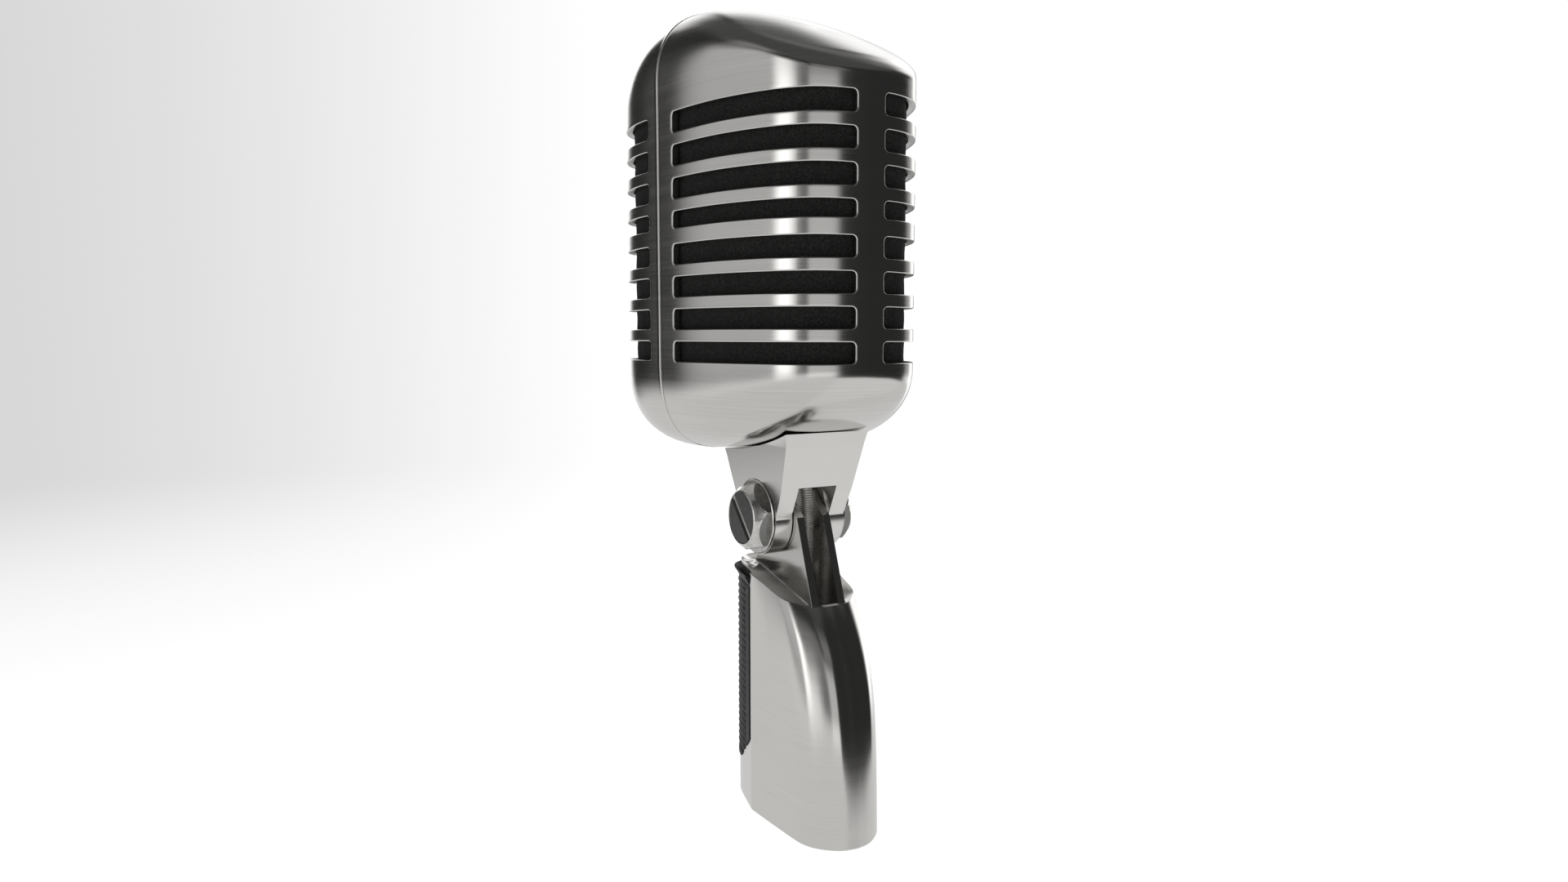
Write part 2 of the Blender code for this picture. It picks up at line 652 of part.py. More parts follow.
def tongue_outline():
    """Side view of the tongue: chamfered round top, sloping rear edge, root inside the base."""
    arc = []
    for k in range(13):
        a = math.radians(190 - 135 * k / 12)
        arc.append((PIVOT_Y + TONGUE_R * math.cos(a), PIVOT_Z + TONGUE_R * math.sin(a)))
    root = [(-1.8, 57.4), (-1.8, 47.0), (23.7, 47.0), (23.7, 51.2), (17.1, 70.0)]
    return [root[0]] + arc + root[:0:-1]


def channel():
    """Rear-open channel down the tongue, opening into the base's hollow."""
    arc = []
    for k in range(9):
        a = math.radians(-40 + 130 * k / 8)
        arc.append((PIVOT_Y + WEB_R * math.cos(a), PIVOT_Z + WEB_R * math.sin(a)))
    outline = [(-8, 80), (30, 80), (30, 51.6), (21.0, 51.6), (21.0, 40.0), (10.6, 40.0), (10.6, 58.0)] + arc
    outline.append((-8, PIVOT_Z + WEB_R))
    return plate_x(outline, -CHANNEL_X, CHANNEL_X)


def swivel_bush(mats):
    """Threaded sleeve across the tongue that takes both pivot bolts."""
    ring = ring_solid([(2.45, -TONGUE_X), (2.7, -TONGUE_X), (2.7, TONGUE_X), (2.45, TONGUE_X)],
                      (0, PIVOT_Y, PIVOT_Z), "X", 24)
    make("pivot_bush", ring, mats["brass"])


def plate_screw_holes(radius, bm=None):
    bm = bm or bmesh.new()
    for x, z in PLATE_SCREWS:
        lathe([(radius, -12), (radius, -3.4)], (x, 0, z), "Y", 12, bm)
    return bm


def plate_outline(offset, steps=15):
    """Base outline in front of PLATE_END_Y, moved outwards: the right half, then the left."""
    half = base_half(0.0, 0.0, 121)
    pts = resample([Vector((x, y, 0)) for x, y in half if y < PLATE_END_Y], steps)
    right = []
    for k, p in enumerate(pts):
        ahead = (pts[min(k + 1, steps - 1)] - pts[max(k - 1, 0)]).normalized()
        q = p - Vector((ahead.y, -ahead.x, 0)) * offset
        right.append((max(q.x, 0.0), q.y))
    right[-1] = (0.0, pts[-1].y - offset)
    return right + [(-x, y) for x, y in right[-2::-1]]


def plate_band(inner, outer, low, high):
    """Upright band round the front of the base."""
    ring = plate_outline(inner) + plate_outline(outer)[::-1]
    return loft([[(x, y, z) for x, y in ring] for z in (low, high)])


def front_plate(mats):
    """Black cover that lies in its seat round the base front, with cut-off lower corners."""
    band = plate_band(-PLATE_SEAT, PLATE_PROUD, PLATE_LOW, PLATE_HIGH)
    plate = make("front_plate", band, mats["plastic"])
    low, back = PLATE_LOW - 1, PLATE_END_Y + 1
    cut(plate, plate_x([(-1.5, low), (-1.5, PLATE_LOW), (back, 18.0), (back, low)], -14, 14))
    cut(plate, plate_screw_holes(1.15))
    cut(plate, box(-2.6, 2.6, -14, -6, 25.5, 36.5))


def switch(mats):
    """Slide switch behind the front plate."""
    body = make("switch_body", box(-4.4, 4.4, -6.9, 0.5, 22, 40), mats["plastic"])
    cut(body, box(-2.2, 2.2, -8, -4.6, 25.0, 37.0))
    empty = axis_empty("switch_axis", (0, -8, 28.5))
    knob = box(-1.9, 1.9, -6.7, -4.9, 25.7, 31.5)
    slider = make("switch_slider", knob, mats["knob"], empty)
    cut(slider, box(-1.6, 1.6, -10.3, -6.3, 26.6, 30.6), "UNION")


def connector(mats):
    """Three-pin output connector in the base underside."""
    shell = ring_solid([(XLR_R, 0.3), (XLR_R, 19.5), (XLR_R - 0.9, 19.5), (XLR_R - 0.9, 0.3)],
                       (0, XLR_Y, 0), "Z", 32)
    make("xlr_shell", shell, mats["metal"])
    disc = make("xlr_insulator", lathe([(7.1, 14.5), (7.1, 19.2)], (0, XLR_Y, 0), "Z", 28), mats["plastic"])
    holes = bmesh.new()
    for k in range(3):
        a = math.radians(90 + 120 * k + 180)
        spot = (3.6 * math.cos(a), XLR_Y + 3.6 * math.sin(a), 0)
        lathe([(1.45, 10), (1.45, 24)], spot, "Z", 12, holes)
        pin = lathe([(0.7, 5.6), (1.2, 6.5), (1.2, 22.5)], spot, "Z", 12)
        make("xlr_pin_" + str(k + 1), pin, mats["brass"])
    cut(disc, holes)


def stand_socket(mats):
    """Threaded insert for the microphone stand."""
    profile = [(SOCKET_R, 0.0), (SOCKET_R, 12.7), (7.4, 12.7), (7.4, 0.0)]
    make("stand_socket", ring_solid(profile, (0, STAND_Y, 0), "Z", 32), mats["brass"])


def base_inside(mats):
    """Terminal board above the connector, and the screws of the front plate."""
    board = make("terminal_board", box(-6.5, 6.5, 15.5, 25.5, 26.5, 28.0), mats["board"])
    holes = bmesh.new()
    for x in (-4.5, 4.5):
        lathe([(0.9, 20), (0.9, 30)], (x, 20.5, 0), "Z", 12, holes)
    cut(board, holes)
    for side, x in (("left", 4.5), ("right", -4.5)):
        make("board_screw_" + side, screw((x, 20.5, 28.3), 0.6, 4.0, head=2.2, height=1.0), mats["steel"])
    for name, (x, z) in zip(("bottom", "top"), PLATE_SCREWS):
        front = BASE_OUTLINE[-1][1] - PLATE_PROUD
        shape = screw((x, front - GAP, z), 0.8, 5.0, "Y", -1, head=2.0, height=0.9)
        make("plate_screw_" + name, shape, mats["steel"])


def main():
    clear_scene()
    mats = {
        "metal": material("satin_nickel", (0.62, 0.61, 0.59), 1.0, 0.3),
        "steel": material("steel", (0.45, 0.45, 0.46), 1.0, 0.4),
        "dark": material("dark_steel", (0.1, 0.1, 0.1), 1.0, 0.4),
        "foam": material("foam", (0.02, 0.02, 0.02), 0.0, 0.95),
        "magnet": material("magnet", (0.3, 0.3, 0.32), 0.9, 0.35),
        "foil": material("foil", (0.85, 0.85, 0.86), 1.0, 0.25),
        "board": material("board", (0.35, 0.22, 0.1), 0.0, 0.6),
        "rubber": material("rubber", (0.03, 0.03, 0.03), 0.0, 0.8),
        "core": material("core_iron", (0.2, 0.2, 0.22), 0.8, 0.5),
        "copper": material("copper", (0.7, 0.35, 0.2), 1.0, 0.3),
        "brass": material("brass", (0.7, 0.55, 0.25), 1.0, 0.35),
        "fibre": material("fibre", (0.25, 0.1, 0.07), 0.0, 0.7),
        "plastic": material("black_plastic", (0.02, 0.02, 0.02), 0.0, 0.5),
        "knob": material("switch_knob", (0.5, 0.5, 0.5), 1.0, 0.35),
        "conduit": material("conduit", (0.5, 0.5, 0.49), 1.0, 0.35),
    }
    pivot = axis_empty("head_tilt_axis", (0, PIVOT_Y, PIVOT_Z))
    head_shells(mats["metal"], mats["foam"], pivot)
    chassis(mats["steel"], pivot)
    motor(mats, pivot)
    transformer(mats, pivot)
    neck(mats, pivot)
    head_fasteners(mats, pivot)
    conduit(mats)
    pivot_bolt("pivot_bolt_left", 1, mats)
    pivot_bolt("pivot_bolt_right", -1, mats)
    washers(mats)
    base(mats)
    swivel_bush(mats)
    front_plate(mats)
    switch(mats)
    connector(mats)
    stand_socket(mats)
    base_inside(mats)


main()
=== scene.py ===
"""Looks of the swivel-mount ribbon microphone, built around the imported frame.

Shapes are worked out in design millimetres: +X to the right seen from the front, -Y to the front,
+Z up, with the stand thread STAND_Y behind the origin. place() turns them into the frame's
metres.
"""
import json
import math

import bmesh
import bpy
from mathutils import Matrix, Vector


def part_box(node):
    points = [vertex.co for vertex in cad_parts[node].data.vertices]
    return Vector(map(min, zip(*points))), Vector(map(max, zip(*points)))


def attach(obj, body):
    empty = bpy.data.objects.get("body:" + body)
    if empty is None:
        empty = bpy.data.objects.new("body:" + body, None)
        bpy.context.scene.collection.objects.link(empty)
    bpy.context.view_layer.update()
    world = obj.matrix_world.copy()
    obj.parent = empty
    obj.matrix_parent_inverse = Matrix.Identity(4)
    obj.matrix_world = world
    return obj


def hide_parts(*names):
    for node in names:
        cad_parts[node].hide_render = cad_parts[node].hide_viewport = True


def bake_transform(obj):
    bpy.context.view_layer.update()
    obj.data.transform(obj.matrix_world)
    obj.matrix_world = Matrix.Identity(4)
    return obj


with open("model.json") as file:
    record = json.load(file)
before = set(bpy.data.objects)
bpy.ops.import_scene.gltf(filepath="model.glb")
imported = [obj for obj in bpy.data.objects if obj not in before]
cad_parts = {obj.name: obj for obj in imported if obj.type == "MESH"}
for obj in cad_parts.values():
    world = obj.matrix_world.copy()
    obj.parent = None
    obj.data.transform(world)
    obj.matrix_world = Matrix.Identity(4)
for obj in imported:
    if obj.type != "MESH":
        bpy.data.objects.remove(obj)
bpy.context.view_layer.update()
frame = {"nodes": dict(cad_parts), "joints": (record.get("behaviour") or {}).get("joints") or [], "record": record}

MM = 0.001
STAND_Y = 3.0
TILT = next(joint for joint in frame["joints"] if joint["name"] == "head_tilt")
PIVOT_Y = TILT["pos_m"][1] / MM + STAND_Y
PIVOT_Z = TILT["pos_m"][2] / MM
PIVOT = (0, PIVOT_Y, PIVOT_Z)

# ---- head
CORE_Y = -5.5                   # seam plane, and middle of the cap and of the underside
SHELL_T = 1.8
SEAM_GAP = 0.15                 # each half stands this far off the seam plane
SLOT_COUNT = 8
SLOT_PITCH = 7.1
SLOT_TOP_Z = 158.85
SLOT_HEIGHT = 4.4
SHORT_SLOT = 3                  # counted from the top
SHORT_SLOT_HEIGHT = 3.6
SLOT_END_X = 3.4                # half width of the solid band
SLOT_CORNER = 1.0
BAR_HALF = (SLOT_PITCH - SLOT_HEIGHT) / 2   # half the bar between two slots
WALL_LOW = SLOT_TOP_Z + BAR_HALF - SLOT_PITCH * SLOT_COUNT
REAR_OUTLINE = [(27.0, -5.5), (25.9, 4.4), (23.9, 14.5), (21.6, 21.5), (18.2, 28.8), (13.9, 34.5),
                (11.4, 36.4), (8.4, 37.7), (5.0, 38.5), (0.0, 39.0)]
FRONT_OUTLINE = [(27.0, -5.5), (27.8, -13.9), (27.5, -20.5), (26.0, -27.0), (22.6, -32.8),
                 (17.2, -36.6), (9.5, -38.7), (0.0, -39.2)]

# ---- swivel
EAR_R = 8.7
EAR_IN = 4.95                   # inner and outer faces of the clevis ears, from the middle
EAR_OUT = 8.95
CLEVIS_ROOF = 7.6               # above the pivot
TONGUE_X = 4.35                 # half width
TONGUE_R = 7.0
CHANNEL_X = 2.5                 # half width
WEB_R = 5.2                     # the channel's floor over the pivot

# ---- base
BASE_REAR = [(0.0, 36.1), (3.0, 35.6), (5.7, 34.0), (8.2, 31.4), (9.6, 28.4), (10.1, 24.8),
             (10.7, 16.5), (11.2, 8.0)]
BASE_FRONT = [(11.2, 8.0), (8.6, -1.9), (6.3, -6.4), (3.5, -8.3), (0.0, -8.8)]
BASE_EDGE_Y = 8.0               # the upright edge between the sides and the front
WALL_TOP = 47.0                 # the side walls are even up to here
RIM_LOW = 51.3                  # lowest point of the top edge, at the rear
CONNECTOR_Y = 22.3
SWITCH_POCKET = (-2.75, 2.75, -12, -6.2, 25.35, 36.65)
SWITCH_CAVITY = (-4.5, 4.5, -7.0, 0.7, 21.8, 40.2)

# ---- front plate
PLATE_LOW = 9.5
PLATE_END_Y = 7.5               # how far back the plate reaches on each side
PLATE_SEAT = -0.45              # its back lies this far under the base's skin
PLATE_CORNER = [(-1.5, 8.0), (-1.5, 9.5), (8.5, 18.0), (8.5, 8.0)]   # cut off its lower corners
PLATE_BORDER = 3.2              # plain strip beside the ribs
PLATE_SCREWS_Z = (15.5, 47.5)
RIB_COUNT = 26
RIBS_LOW = 11.6
RIBS_HIGH = 53.0

# ---- camera, in the frame's metres
CAMERA_SPOT = (0.12182, 0.21188, 0.11086)
CAMERA_AIM = (-0.4974, -0.8615, -0.1020)


# ------------------------------------------------------------------ points and meshes
def place(spot):
    """Design millimetres to the frame's metres."""
    return (Vector(spot) - Vector((0.0, STAND_Y, 0.0))) * MM


def clamp(value):
    """The value, kept between 0 and 1."""
    return min(max(value, 0.0), 1.0)


def spline(points, per_span):
    """Catmull-Rom curve through the points."""
    pts = [Vector(p) for p in points]
    pts = [2 * pts[0] - pts[1]] + pts + [2 * pts[-1] - pts[-2]]
    out = []
    for a, b, c, d in zip(pts, pts[1:], pts[2:], pts[3:]):
        for k in range(per_span):
            t = k / per_span
            out.append(0.5 * (2 * b + (c - a) * t + (2 * a - 5 * b + 4 * c - d) * t ** 2
                              + (3 * b - a - 3 * c + d) * t ** 3))
    return out + [pts[-2]]


def relax(points, rounds, mirrored=True):
    """Smooth a polyline; its first point stays, and its last stays or mirrors in the middle plane."""
    pts = [p.copy() for p in points]
    for _ in range(rounds):
        last = pts[-1]
        if mirrored:
            last = 0.5 * pts[-1] + 0.5 * pts[-2]
            last.x = 0.0
        inner = [0.25 * a + 0.5 * b + 0.25 * c for a, b, c in zip(pts, pts[1:], pts[2:])]
        pts = [pts[0]] + inner + [last]
    return pts


class Route:
    """A polyline in the XY plane that answers for any length along it."""

    def __init__(self, points):
        """Measure the polyline once."""
        self.points = points
        self.lengths = [0.0]
        for a, b in zip(points, points[1:]):
            self.lengths.append(self.lengths[-1] + (b - a).length)
        self.total = self.lengths[-1]

    def _span(self, s):
        """Number of the stretch that holds a length."""
        low, high = 0, len(self.points) - 2
        while low < high:
            mid = (low + high + 1) // 2
            if self.lengths[mid] <= s:
                low = mid
            else:
                high = mid - 1
        return low

    def at(self, s):
        """Point at a length."""
        k = self._span(s)
        share = (s - self.lengths[k]) / (self.lengths[k + 1] - self.lengths[k])
        return self.points[k].lerp(self.points[k + 1], share)

    def normal(self, s):
        """Level direction out of the object at a length."""
        step = 0.35
        a, b = max(s - step, 0.0), min(s + step, self.total)
        if b >= self.total:
            mirrored = self.at(max(2 * self.total - s - step, 0.0))
            ahead = Vector((-mirrored.x, mirrored.y, 0)) - self.at(a)
        else:
            ahead = self.at(b) - self.at(a)
        side = Vector((ahead.y, -ahead.x, 0)).normalized()
        return side if side.dot(self.at(s) - Vector((0, CORE_Y, 0))) > 0 else -side

    def where(self, test):
        """Length at which the test first holds."""
        for k in range(4000):
            s = self.total * k / 4000
            if test(self.at(s)):
                return s
        return self.total


def solid(name, bm):
    """A bare mesh object in metres, from a mesh in design millimetres."""
    for vert in bm.verts:
        vert.co = place(vert.co)
    bmesh.ops.recalc_face_normals(bm, faces=bm.faces)
    mesh = bpy.data.meshes.new(name)
    bm.to_mesh(mesh)
    bm.free()
    obj = bpy.data.objects.new(name, mesh)
    bpy.context.collection.objects.link(obj)
    return obj


def painted(obj, mat, smooth):
    """One material, smooth shading, and edges sharper than the angle kept."""
    obj.data.materials.clear()
    obj.data.materials.append(mat)
    obj.data.shade_smooth()
    obj.data.set_sharp_from_angle(angle=math.radians(smooth))


def hung(obj, body, stands_for):
    """Tie a piece to its body, and hide the CAD nodes that it stands for."""
    if body:
        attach(obj, body)
    if stands_for:
        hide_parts(*stands_for)
    return obj


def piece(name, bm, mat, body, stands_for=(), smooth=35.0):
    """Turn a mesh in design millimetres into a piece that rides on a body."""
    obj = solid(name, bm)
    painted(obj, mat, smooth)
    return hung(obj, body, stands_for)


def finished(obj, name, mat, body, stands_for=(), smooth=35.0):
    """Name, paint and hang a solid that was made by cutting and joining."""
    obj.name = name
    obj.data.name = name
    painted(obj, mat, smooth)
    mod = obj.modifiers.new("even_normals", "WEIGHTED_NORMAL")
    mod.keep_sharp = True
    return hung(obj, body, stands_for)


def applied(obj):
    """The object's mesh with its modifiers worked in."""
    bpy.context.view_layer.update()
    graph = bpy.context.evaluated_depsgraph_get()
    mesh = bpy.data.meshes.new_from_object(obj.evaluated_get(graph), depsgraph=graph)
    obj.modifiers.clear()
    obj.data = mesh
    return obj


def combine(obj, shape, operation="DIFFERENCE"):
    """Cut a shape (a mesh, or a finished solid) out of an object, join it on, or keep what both share."""
    tool = solid("tool", shape) if isinstance(shape, bmesh.types.BMesh) else shape
    mod = obj.modifiers.new("boolean", "BOOLEAN")
    mod.operation = operation
    mod.solver = "EXACT"
    mod.object = tool
    applied(obj)
    bpy.data.objects.remove(tool, do_unlink=True)


def bevel(obj, width, segments=3, angle=30.0):
    """Round every edge sharper than the angle."""
    mod = obj.modifiers.new("bevel", "BEVEL")
    mod.width = width * MM
    mod.segments = segments
    mod.limit_method = "ANGLE"
    mod.angle_limit = math.radians(angle)
    mod.miter_outer = "MITER_ARC"
    return applied(obj)


def repaint(obj, mat, chosen):
    """Give the faces that pass a test (corners in design millimetres, normal) another finish."""
    obj.data.materials.append(mat)
    for face in obj.data.polygons:
        corners = [obj.data.vertices[i].co / MM + Vector((0.0, STAND_Y, 0.0))
                   for i in face.vertices]
        if chosen(corners, face.normal):
            face.material_index = len(obj.data.materials) - 1


def loft(rings, caps=True):
    """Skin through closed rings of points."""
    bm = bmesh.new()
    rows = [[bm.verts.new(p) for p in ring] for ring in rings]
    for low, high in zip(rows, rows[1:]):
        for i in range(len(low)):
            j = (i + 1) % len(low)
            bm.faces.new((low[i], low[j], high[j], high[i]))
    if caps:
        bm.faces.new(reversed(rows[0]))
        bm.faces.new(rows[-1])
    return bm


def prism_x(outline, x0, x1):
    """Side-view outline of (y, z) points, drawn out along X."""
    return loft([[(x, y, z) for y, z in outline] for x in (x0, x1)])


def box(x0, x1, y0, y1, z0, z1):
    """Plain block between two values on each axis."""
    corners = [(x0, y0), (x1, y0), (x1, y1), (x0, y1)]
    return loft([[(x, y, z) for x, y in corners] for z in (z0, z1)])


def circle(radius, count, turn=0.0):
    """Evenly spaced points round a circle."""
    angles = [turn + math.tau * i / count for i in range(count)]
    return [(radius * math.cos(a), radius * math.sin(a)) for a in angles]


def arc_round_pivot(radius, start, sweep, count):
    """Side-view points round the pivot, in degrees from the rear."""
    angles = [math.radians(start + sweep * k / count) for k in range(count + 1)]
    return [(PIVOT_Y + radius * math.cos(a), PIVOT_Z + radius * math.sin(a)) for a in angles]


def turned(profile, centre, axis="Z", count=64):
    """Turned body: profile is (radius, distance along the axis) pairs."""
    rings = []
    for radius, along in profile:
        ring = []
        for u, v in circle(radius, count):
            offset = {"Z": (u, v, along), "X": (along, u, v), "Y": (v, along, u)}[axis]
            ring.append(Vector(centre) + Vector(offset))
        rings.append(ring)
    return loft(rings)


# ------------------------------------------------------------------ materials
def added(tree, kind, values=(), **settings):
    """A new shader node; values are pairs of a socket and the number or output that feeds it."""
    node = tree.nodes.new("ShaderNode" + kind)
    for key, value in settings.items():
        setattr(node, key, value)
    for socket, value in values:
        if isinstance(value, bpy.types.NodeSocket):
            tree.links.new(value, node.inputs[socket])
        else:
            node.inputs[socket].default_value = value
    return node


class Nodes:
    """Small helper to lay out one procedural material."""

    def __init__(self, name, colour, metallic, roughness):
        """Start from an even surface."""
        self.mat = bpy.data.materials.new(name)
        self.mat.use_nodes = True
        self.tree = self.mat.node_tree
        self.shader = self.tree.nodes["Principled BSDF"]
        self.shader.inputs["Base Color"].default_value = (*colour, 1.0)
        self.shader.inputs["Metallic"].default_value = metallic
        self.shader.inputs["Roughness"].default_value = roughness
        self.coords = added(self.tree, "TexCoord")

    def noise(self, stretch, scale, detail=3.0, rough=0.6):
        """Noise in object space, stretched along the axes."""
        mapping = added(self.tree, "Mapping", [("Scale", stretch), ("Vector", self.coords.outputs["Object"])])
        texture = added(self.tree, "TexNoise", [("Scale", scale), ("Detail", detail), ("Roughness", rough),
                                                ("Vector", mapping.outputs["Vector"])])
        return texture.outputs["Fac"]

    def spread(self, source, low, high):
        """The source's range turned into a range of values."""
        node = added(self.tree, "MapRange", [("From Min", 0.3), ("From Max", 0.7), ("To Min", low),
                                             ("To Max", high), ("Value", source)])
        return node.outputs["Result"]

    def ramp(self, source, dark, light, start=0.35, end=0.65):
        """The source's range turned into a range of colours."""
        node = added(self.tree, "ValToRGB", [("Fac", source)])
        node.color_ramp.elements[0].position = start
        node.color_ramp.elements[0].color = (*dark, 1.0)
        node.color_ramp.elements[1].position = end
        node.color_ramp.elements[1].color = (*light, 1.0)
        return node.outputs["Color"]

    def mix(self, a, b, share=0.5):
        """Weighted sum of two sources; share is the weight of the first."""
        rest = added(self.tree, "Math", [(0, b), (1, 1.0 - share)], operation="MULTIPLY")
        both = added(self.tree, "Math", [(0, a), (1, share), (2, rest.outputs[0])], operation="MULTIPLY_ADD")
        return both.outputs[0]

    def link(self, source, socket):
        """Drive one of the shader's sockets."""
        self.tree.links.new(source, self.shader.inputs[socket])

    def bump(self, source, strength, distance):
        """Fine relief from the source."""
        node = added(self.tree, "Bump", [("Strength", strength), ("Distance", distance), ("Height", source)])
        self.link(node.outputs["Normal"], "Normal")


def brushed_metal(name, dark, light, rough_low, rough_high, grain=(26.0, 26.0, 2600.0), bump=0.1):
    """Satin plate with fine brush lines that run level round the piece."""
    nodes = Nodes(name, light, 1.0, rough_high)
    lines = nodes.noise(grain, 1.0, 4.0, 0.7)
    broad = nodes.noise((grain[0] * 0.4, grain[1] * 0.4, grain[2] * 0.16), 1.0, 3.0, 0.6)
    cloud = nodes.noise((1, 1, 1), 60.0, 3.0, 0.55)
    both = nodes.mix(lines, broad, 0.65)
    nodes.link(nodes.ramp(nodes.mix(both, cloud, 0.75), dark, light), "Base Color")
    nodes.link(nodes.spread(nodes.mix(both, cloud, 0.7), rough_low, rough_high), "Roughness")
    nodes.bump(both, bump, 0.00001)
    nodes.shader.inputs["Anisotropic"].default_value = 0.4
    tangent = added(nodes.tree, "Tangent", direction_type="RADIAL", axis="Z")
    nodes.link(tangent.outputs["Tangent"], "Tangent")
    return nodes.mat


def plain(name, colour, metallic, roughness, spread=0.08, grain=400.0, bump=0.1, distance=0.00002):
    """Machined or moulded surface with fine unevenness."""
    nodes = Nodes(name, colour, metallic, roughness)
    grit = nodes.noise((1, 1, 1), grain, 4.0, 0.6)
    dark = tuple(c * 0.82 for c in colour)
    light = tuple(min(c * 1.12, 1.0) for c in colour)
    nodes.link(nodes.ramp(grit, dark, light), "Base Color")
    nodes.link(nodes.spread(grit, roughness - spread, roughness + spread), "Roughness")
    nodes.bump(grit, bump, distance)
    if metallic == 0.0:
        nodes.shader.inputs["Specular IOR Level"].default_value = 0.25
    return nodes.mat


def foam_material():
    """Open-cell foam: tiny pits on black."""
    nodes = Nodes("foam", (0.012, 0.012, 0.012), 0.0, 0.95)
    cells = added(nodes.tree, "TexVoronoi", [("Scale", 2600.0), ("Vector", nodes.coords.outputs["Object"])])
    grit = nodes.noise((1, 1, 1), 1500.0, 4.0, 0.7)
    both = nodes.mix(cells.outputs["Distance"], grit, 0.5)
    nodes.link(nodes.ramp(both, (0.003, 0.003, 0.003), (0.022, 0.022, 0.021), 0.25, 0.75), "Base Color")
    nodes.bump(both, 0.6, 0.0002)
    nodes.shader.inputs["Specular IOR Level"].default_value = 0.25
    return nodes.mat


CAST_GRAIN = (30, 30, 2200)
MATS = {
    "shell": brushed_metal("satin_nickel", (0.60, 0.59, 0.57), (0.68, 0.67, 0.65), 0.13, 0.21),
    "cast": brushed_metal("satin_casting", (0.63, 0.62, 0.60), (0.67, 0.66, 0.64), 0.15, 0.21,
                          CAST_GRAIN, 0.04),
    "block": brushed_metal("satin_block", (0.71, 0.70, 0.68), (0.74, 0.73, 0.71), 0.23, 0.28,
                           CAST_GRAIN, 0.03),
    "raw": plain("raw_casting", (0.62, 0.61, 0.58), 0.75, 0.5, 0.08, 500.0, 0.2),
    "bolt": plain("bolt_nickel", (0.66, 0.65, 0.63), 1.0, 0.20, 0.05, 500.0, 0.06),
    "bolt_flat": plain("bolt_flat", (0.26, 0.26, 0.25), 1.0, 0.34, 0.12, 700.0, 0.5, 0.00005),
    "bolt_face": plain("bolt_face", (0.12, 0.12, 0.118), 0.9, 0.42, 0.06, 900.0, 0.15),
    "foam": foam_material(),
    "plastic": plain("black_plastic", (0.008, 0.008, 0.008), 0.0, 0.5, 0.07, 900.0, 0.25, 0.00004),
    "conduit": plain("conduit", (0.50, 0.49, 0.47), 0.9, 0.4, 0.06, 700.0, 0.1),
    "steel": plain("steel", (0.5, 0.5, 0.51), 1.0, 0.36, 0.08, 500.0, 0.1),
    "dark_steel": plain("dark_steel", (0.07, 0.07, 0.07), 1.0, 0.4, 0.08, 500.0, 0.1),
    "magnet": plain("magnet", (0.26, 0.26, 0.27), 0.9, 0.4, 0.08, 300.0, 0.2),
    "foil": plain("foil", (0.88, 0.88, 0.89), 1.0, 0.2, 0.06, 900.0, 0.1),
    "board": plain("board", (0.30, 0.17, 0.07), 0.0, 0.55, 0.08, 600.0, 0.2),
    "rubber": plain("rubber", (0.02, 0.02, 0.02), 0.0, 0.8, 0.08, 900.0, 0.3),
    "core": plain("core_iron", (0.16, 0.16, 0.17), 0.8, 0.5, 0.08, 400.0, 0.2),
    "copper": plain("copper", (0.68, 0.30, 0.15), 1.0, 0.3, 0.08, 900.0, 0.2),
    "brass": plain("brass", (0.72, 0.53, 0.24), 1.0, 0.28, 0.07, 500.0, 0.1),
    "fibre": plain("fibre", (0.06, 0.055, 0.05), 0.0, 0.7, 0.08, 900.0, 0.3),
    "knob": plain("switch_knob", (0.55, 0.55, 0.54), 1.0, 0.3, 0.06, 500.0, 0.1),
}


# ------------------------------------------------------------------ head surfaces
def cap_height(x, y):
    """Height of the head's top: falls to the rear, rounds over to the front and the sides."""
    back = max(y + 8.0, 0.0) / 46.5
    front = max(-8.0 - y, 0.0) / 31.0
    soft = 0.35
    fall = 19.6 * (math.hypot(back, soft) - soft) / (math.hypot(1.0, soft) - soft)
    return 184.3 - fall - 12.5 * front ** 2 - 0.006 * x * x


def floor_height(x, y):
    """Height of the head's underside."""
    return 83.9 + 0.0047 * (y + 12.0) ** 2 + 0.0017 * x * x


def blend_factor(y):
    """0 on the rear wall, 1 from the seam forward."""
    t = clamp((30.0 - y) / 34.0)
    return t * t * (3 - 2 * t)


def head_point(flat, kind, value, inset):
    """Point of the head's skin above or below an outline point."""
    px, py = flat.x, flat.y
    reach = math.hypot(px, py - CORE_Y)
    wall = 1.0 - inset / reach

    def at(t):
        """Plan position at a share of the way out from the middle."""
        return px * t, CORE_Y + (py - CORE_Y) * t

    def cap(t):
        """Height of the top there."""
        return cap_height(*at(t)) - inset

    def floor(t):
        """Height of the underside there."""
        return floor_height(*at(t)) + inset

    soft = blend_factor(py)
    cap_edge = 1.0 - (0.13 + 0.33 * soft)
    floor_edge = 1.0 - (0.34 + 0.16 * soft)
    if kind == "cap":
        return (*at(value * cap_edge * wall), cap(value * cap_edge * wall))
    if kind == "floor":
        return (*at(value * floor_edge * wall), floor(value * floor_edge * wall))
    if kind == "shoulder":
        corner, low = cap(wall), max(cap(wall) - (2.6 + 11.0 * soft), 160.3)
        inner, end = cap_edge, cap(cap_edge * wall)
    else:
        corner, low = floor(wall), WALL_LOW
        inner, end = floor_edge, floor(floor_edge * wall)
    a, b, c = (1 - value) ** 2, 2 * value * (1 - value), value ** 2
    t = wall * (a + b + c * inner)
    return (*at(t), a * low + b * corner + c * end)


